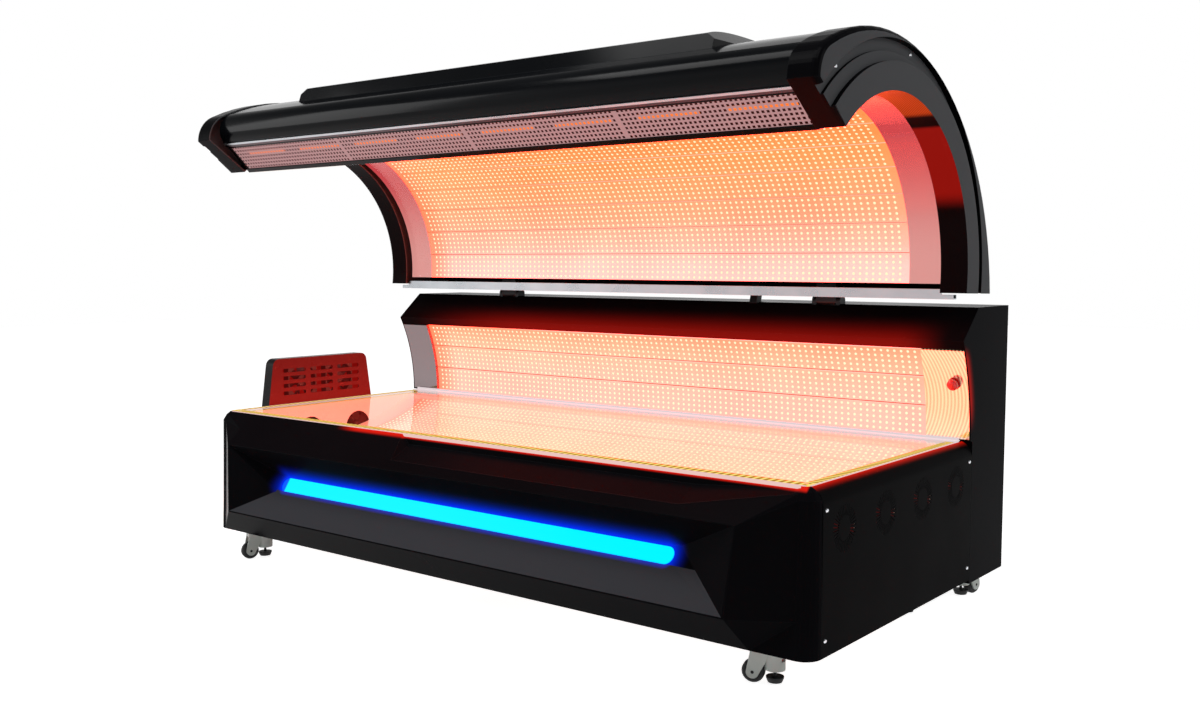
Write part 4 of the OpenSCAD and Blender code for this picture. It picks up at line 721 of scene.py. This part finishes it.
# Amber lamp blocks in a channel behind the sheet, the channel with a painted dark red glow
lampLook = {"dark": "#140504", "light": "#1e0806", "cloud": 30, "grain": 2.0, "rough": (0.35, 0.5), "relief": 0.05,
            "sockets": {"IOR": 1.2}}
lampPlace = {"step": 0.260, "half": 0.091, "rise": 0.0255, "origin": (-0.509, 1.346), "down": (0.719, -0.695),
             "middle": 0.069, "width": 0.015, "shown": "#ff7a2c", "channelGlow": "#2a0603", "power": 1.1}


def lampFinish():
    made, tree, shader, place = surface("amberLamp", lampLook)
    flat = aroundLine(tree, place, lampPlace["origin"])
    uy, uz = lampPlace["down"]
    depth = addNode(tree, "VectorMath", {0: flat, 1: (0, -uz, uy)}, operation="DOT_PRODUCT").outputs["Value"]
    down = addNode(tree, "VectorMath", {0: flat, 1: (0, uy, uz)}, operation="DOT_PRODUCT").outputs["Value"]
    raised = addNode(tree, "Math", {0: depth, 1: lampPlace["rise"]}, operation="LESS_THAN").outputs[0]
    aside = addNode(tree, "Math", {0: down, 1: lampPlace["middle"], 2: lampPlace["width"]},
                    operation="COMPARE").outputs[0]
    along = addNode(tree, "SeparateXYZ", {0: place}).outputs["X"]
    halfStep = lampPlace["step"] / 2
    beside = addNode(tree, "Math", {0: along, 1: halfStep}, operation="PINGPONG").outputs[0]
    block = addNode(tree, "Math", {0: beside, 1: halfStep - lampPlace["half"]}, operation="GREATER_THAN").outputs[0]
    lit = allOf(tree, raised, aside, block)
    # painted dark red glow on the channel around the lamp blocks
    dull = addNode(tree, "Math", {0: 1.0, 1: lit}, operation="SUBTRACT").outputs[0]
    shine(tree, shader, lampPlace["power"], (lampPlace["shown"], lit), (lampPlace["channelGlow"], dull))
    return made


paint(lampFinish(), "vent_lamps")
print("rails, grille and lamps made")

# a pale floor that turns white away from the bed and keeps its faint shadow
floorLook = {"size": 30, "sockets": {"Base Color": linear("#f2f2f2"), "Specular IOR Level": 0.1},
             "near": 0.90, "far": 1.0, "start": 1.5, "end": 3.6, "dust": 3.0, "rough": (0.6, 0.8)}


# 1 for rays that show the backdrop: to the camera, off metal or through the clear sheets
def backdropRay(tree):
    ray = addNode(tree, "LightPath").outputs
    either = addNode(tree, "Math", {0: ray["Is Glossy Ray"], 1: ray["Is Transmission Ray"]},
                     operation="MAXIMUM").outputs[0]
    return addNode(tree, "Math", {0: ray["Is Camera Ray"], 1: either}, operation="MAXIMUM").outputs[0]


def floorFinish():
    made, tree, shader = newFinish("paleFloor", {**floorLook["sockets"], "Emission Color": (1, 1, 1, 1)})
    place = addNode(tree, "TexCoord").outputs["Object"]
    away = addNode(tree, "VectorMath", {0: place}, operation="LENGTH").outputs["Value"]
    lift = addNode(tree, "MapRange", {0: away, 1: floorLook["start"], 2: floorLook["end"], 3: floorLook["near"],
                                      4: floorLook["far"]}, interpolation_type="SMOOTHSTEP").outputs[0]
    dust = addNode(tree, "TexNoise", {"Vector": place, "Scale": floorLook["dust"]}).outputs["Fac"]
    low, high = floorLook["rough"]
    rough = addNode(tree, "MapRange", {0: dust, 3: low, 4: high}).outputs[0]
    tree.links.new(rough, shader.inputs["Roughness"])
    tree.links.new(allOf(tree, backdropRay(tree), lift), shader.inputs["Emission Strength"])
    return made


bpy.ops.object.select_all(action="DESELECT")
bpy.ops.mesh.primitive_plane_add(size=floorLook["size"], location=(0, 0, 0))
floor = bpy.context.object
floor.name = "paleFloor"
floor.data.materials.append(floorFinish())

# the room: white where it is seen, dimmer as light, with a dark ceiling for the gloss to mirror
skyLight = {"seen": 1.0, "cast": 0.40, "ceiling": 0.12, "rise": (0.25, 0.60)}
sky = bpy.data.worlds.new("paleStudio")
bpy.context.scene.world = sky
sky.use_nodes = True
skyTree = sky.node_tree
direction = addNode(skyTree, "TexCoord").outputs["Generated"]
height = addNode(skyTree, "SeparateXYZ", {0: direction}).outputs["Z"]
low, high = skyLight["rise"]
dimmer = addNode(skyTree, "MapRange", {0: height, 1: low, 2: high, 3: 1.0, 4: skyLight["ceiling"]}).outputs[0]
power = addNode(skyTree, "Mix", {0: backdropRay(skyTree), 2: skyLight["cast"], 3: skyLight["seen"]}).outputs[0]
skyTree.links.new(dimmer, skyTree.nodes["Background"].inputs["Color"])
skyTree.links.new(power, skyTree.nodes["Background"].inputs["Strength"])

lamps = {
    "ceilingBox": {"place": (0.2, -1.3, 3.4), "aim": (0, -0.1, 0.8), "size": (3.2, 1.1), "watts": 60},
    "leftBox": {"place": (-3.2, -2.6, 2.2), "aim": (0, -0.2, 0.7), "size": (1.2, 2.2), "watts": 30},
    "rightBox": {"place": (3.6, 0.3, 2.2), "aim": (0.8, 0, 0.9), "size": (1.0, 2.2), "watts": 25},
}
for name, lamp in lamps.items():
    data = bpy.data.lights.new(name, "AREA")
    data.shape = "RECTANGLE"
    data.size, data.size_y = lamp["size"]
    data.energy = lamp["watts"]
    made = bpy.data.objects.new(name, data)
    made.location = lamp["place"]
    made.rotation_euler = (Vector(lamp["aim"]) - Vector(lamp["place"])).to_track_quat("-Z", "Y").to_euler()
    bpy.context.scene.collection.objects.link(made)
print("floor and light set")

bpy.context.view_layer.update()
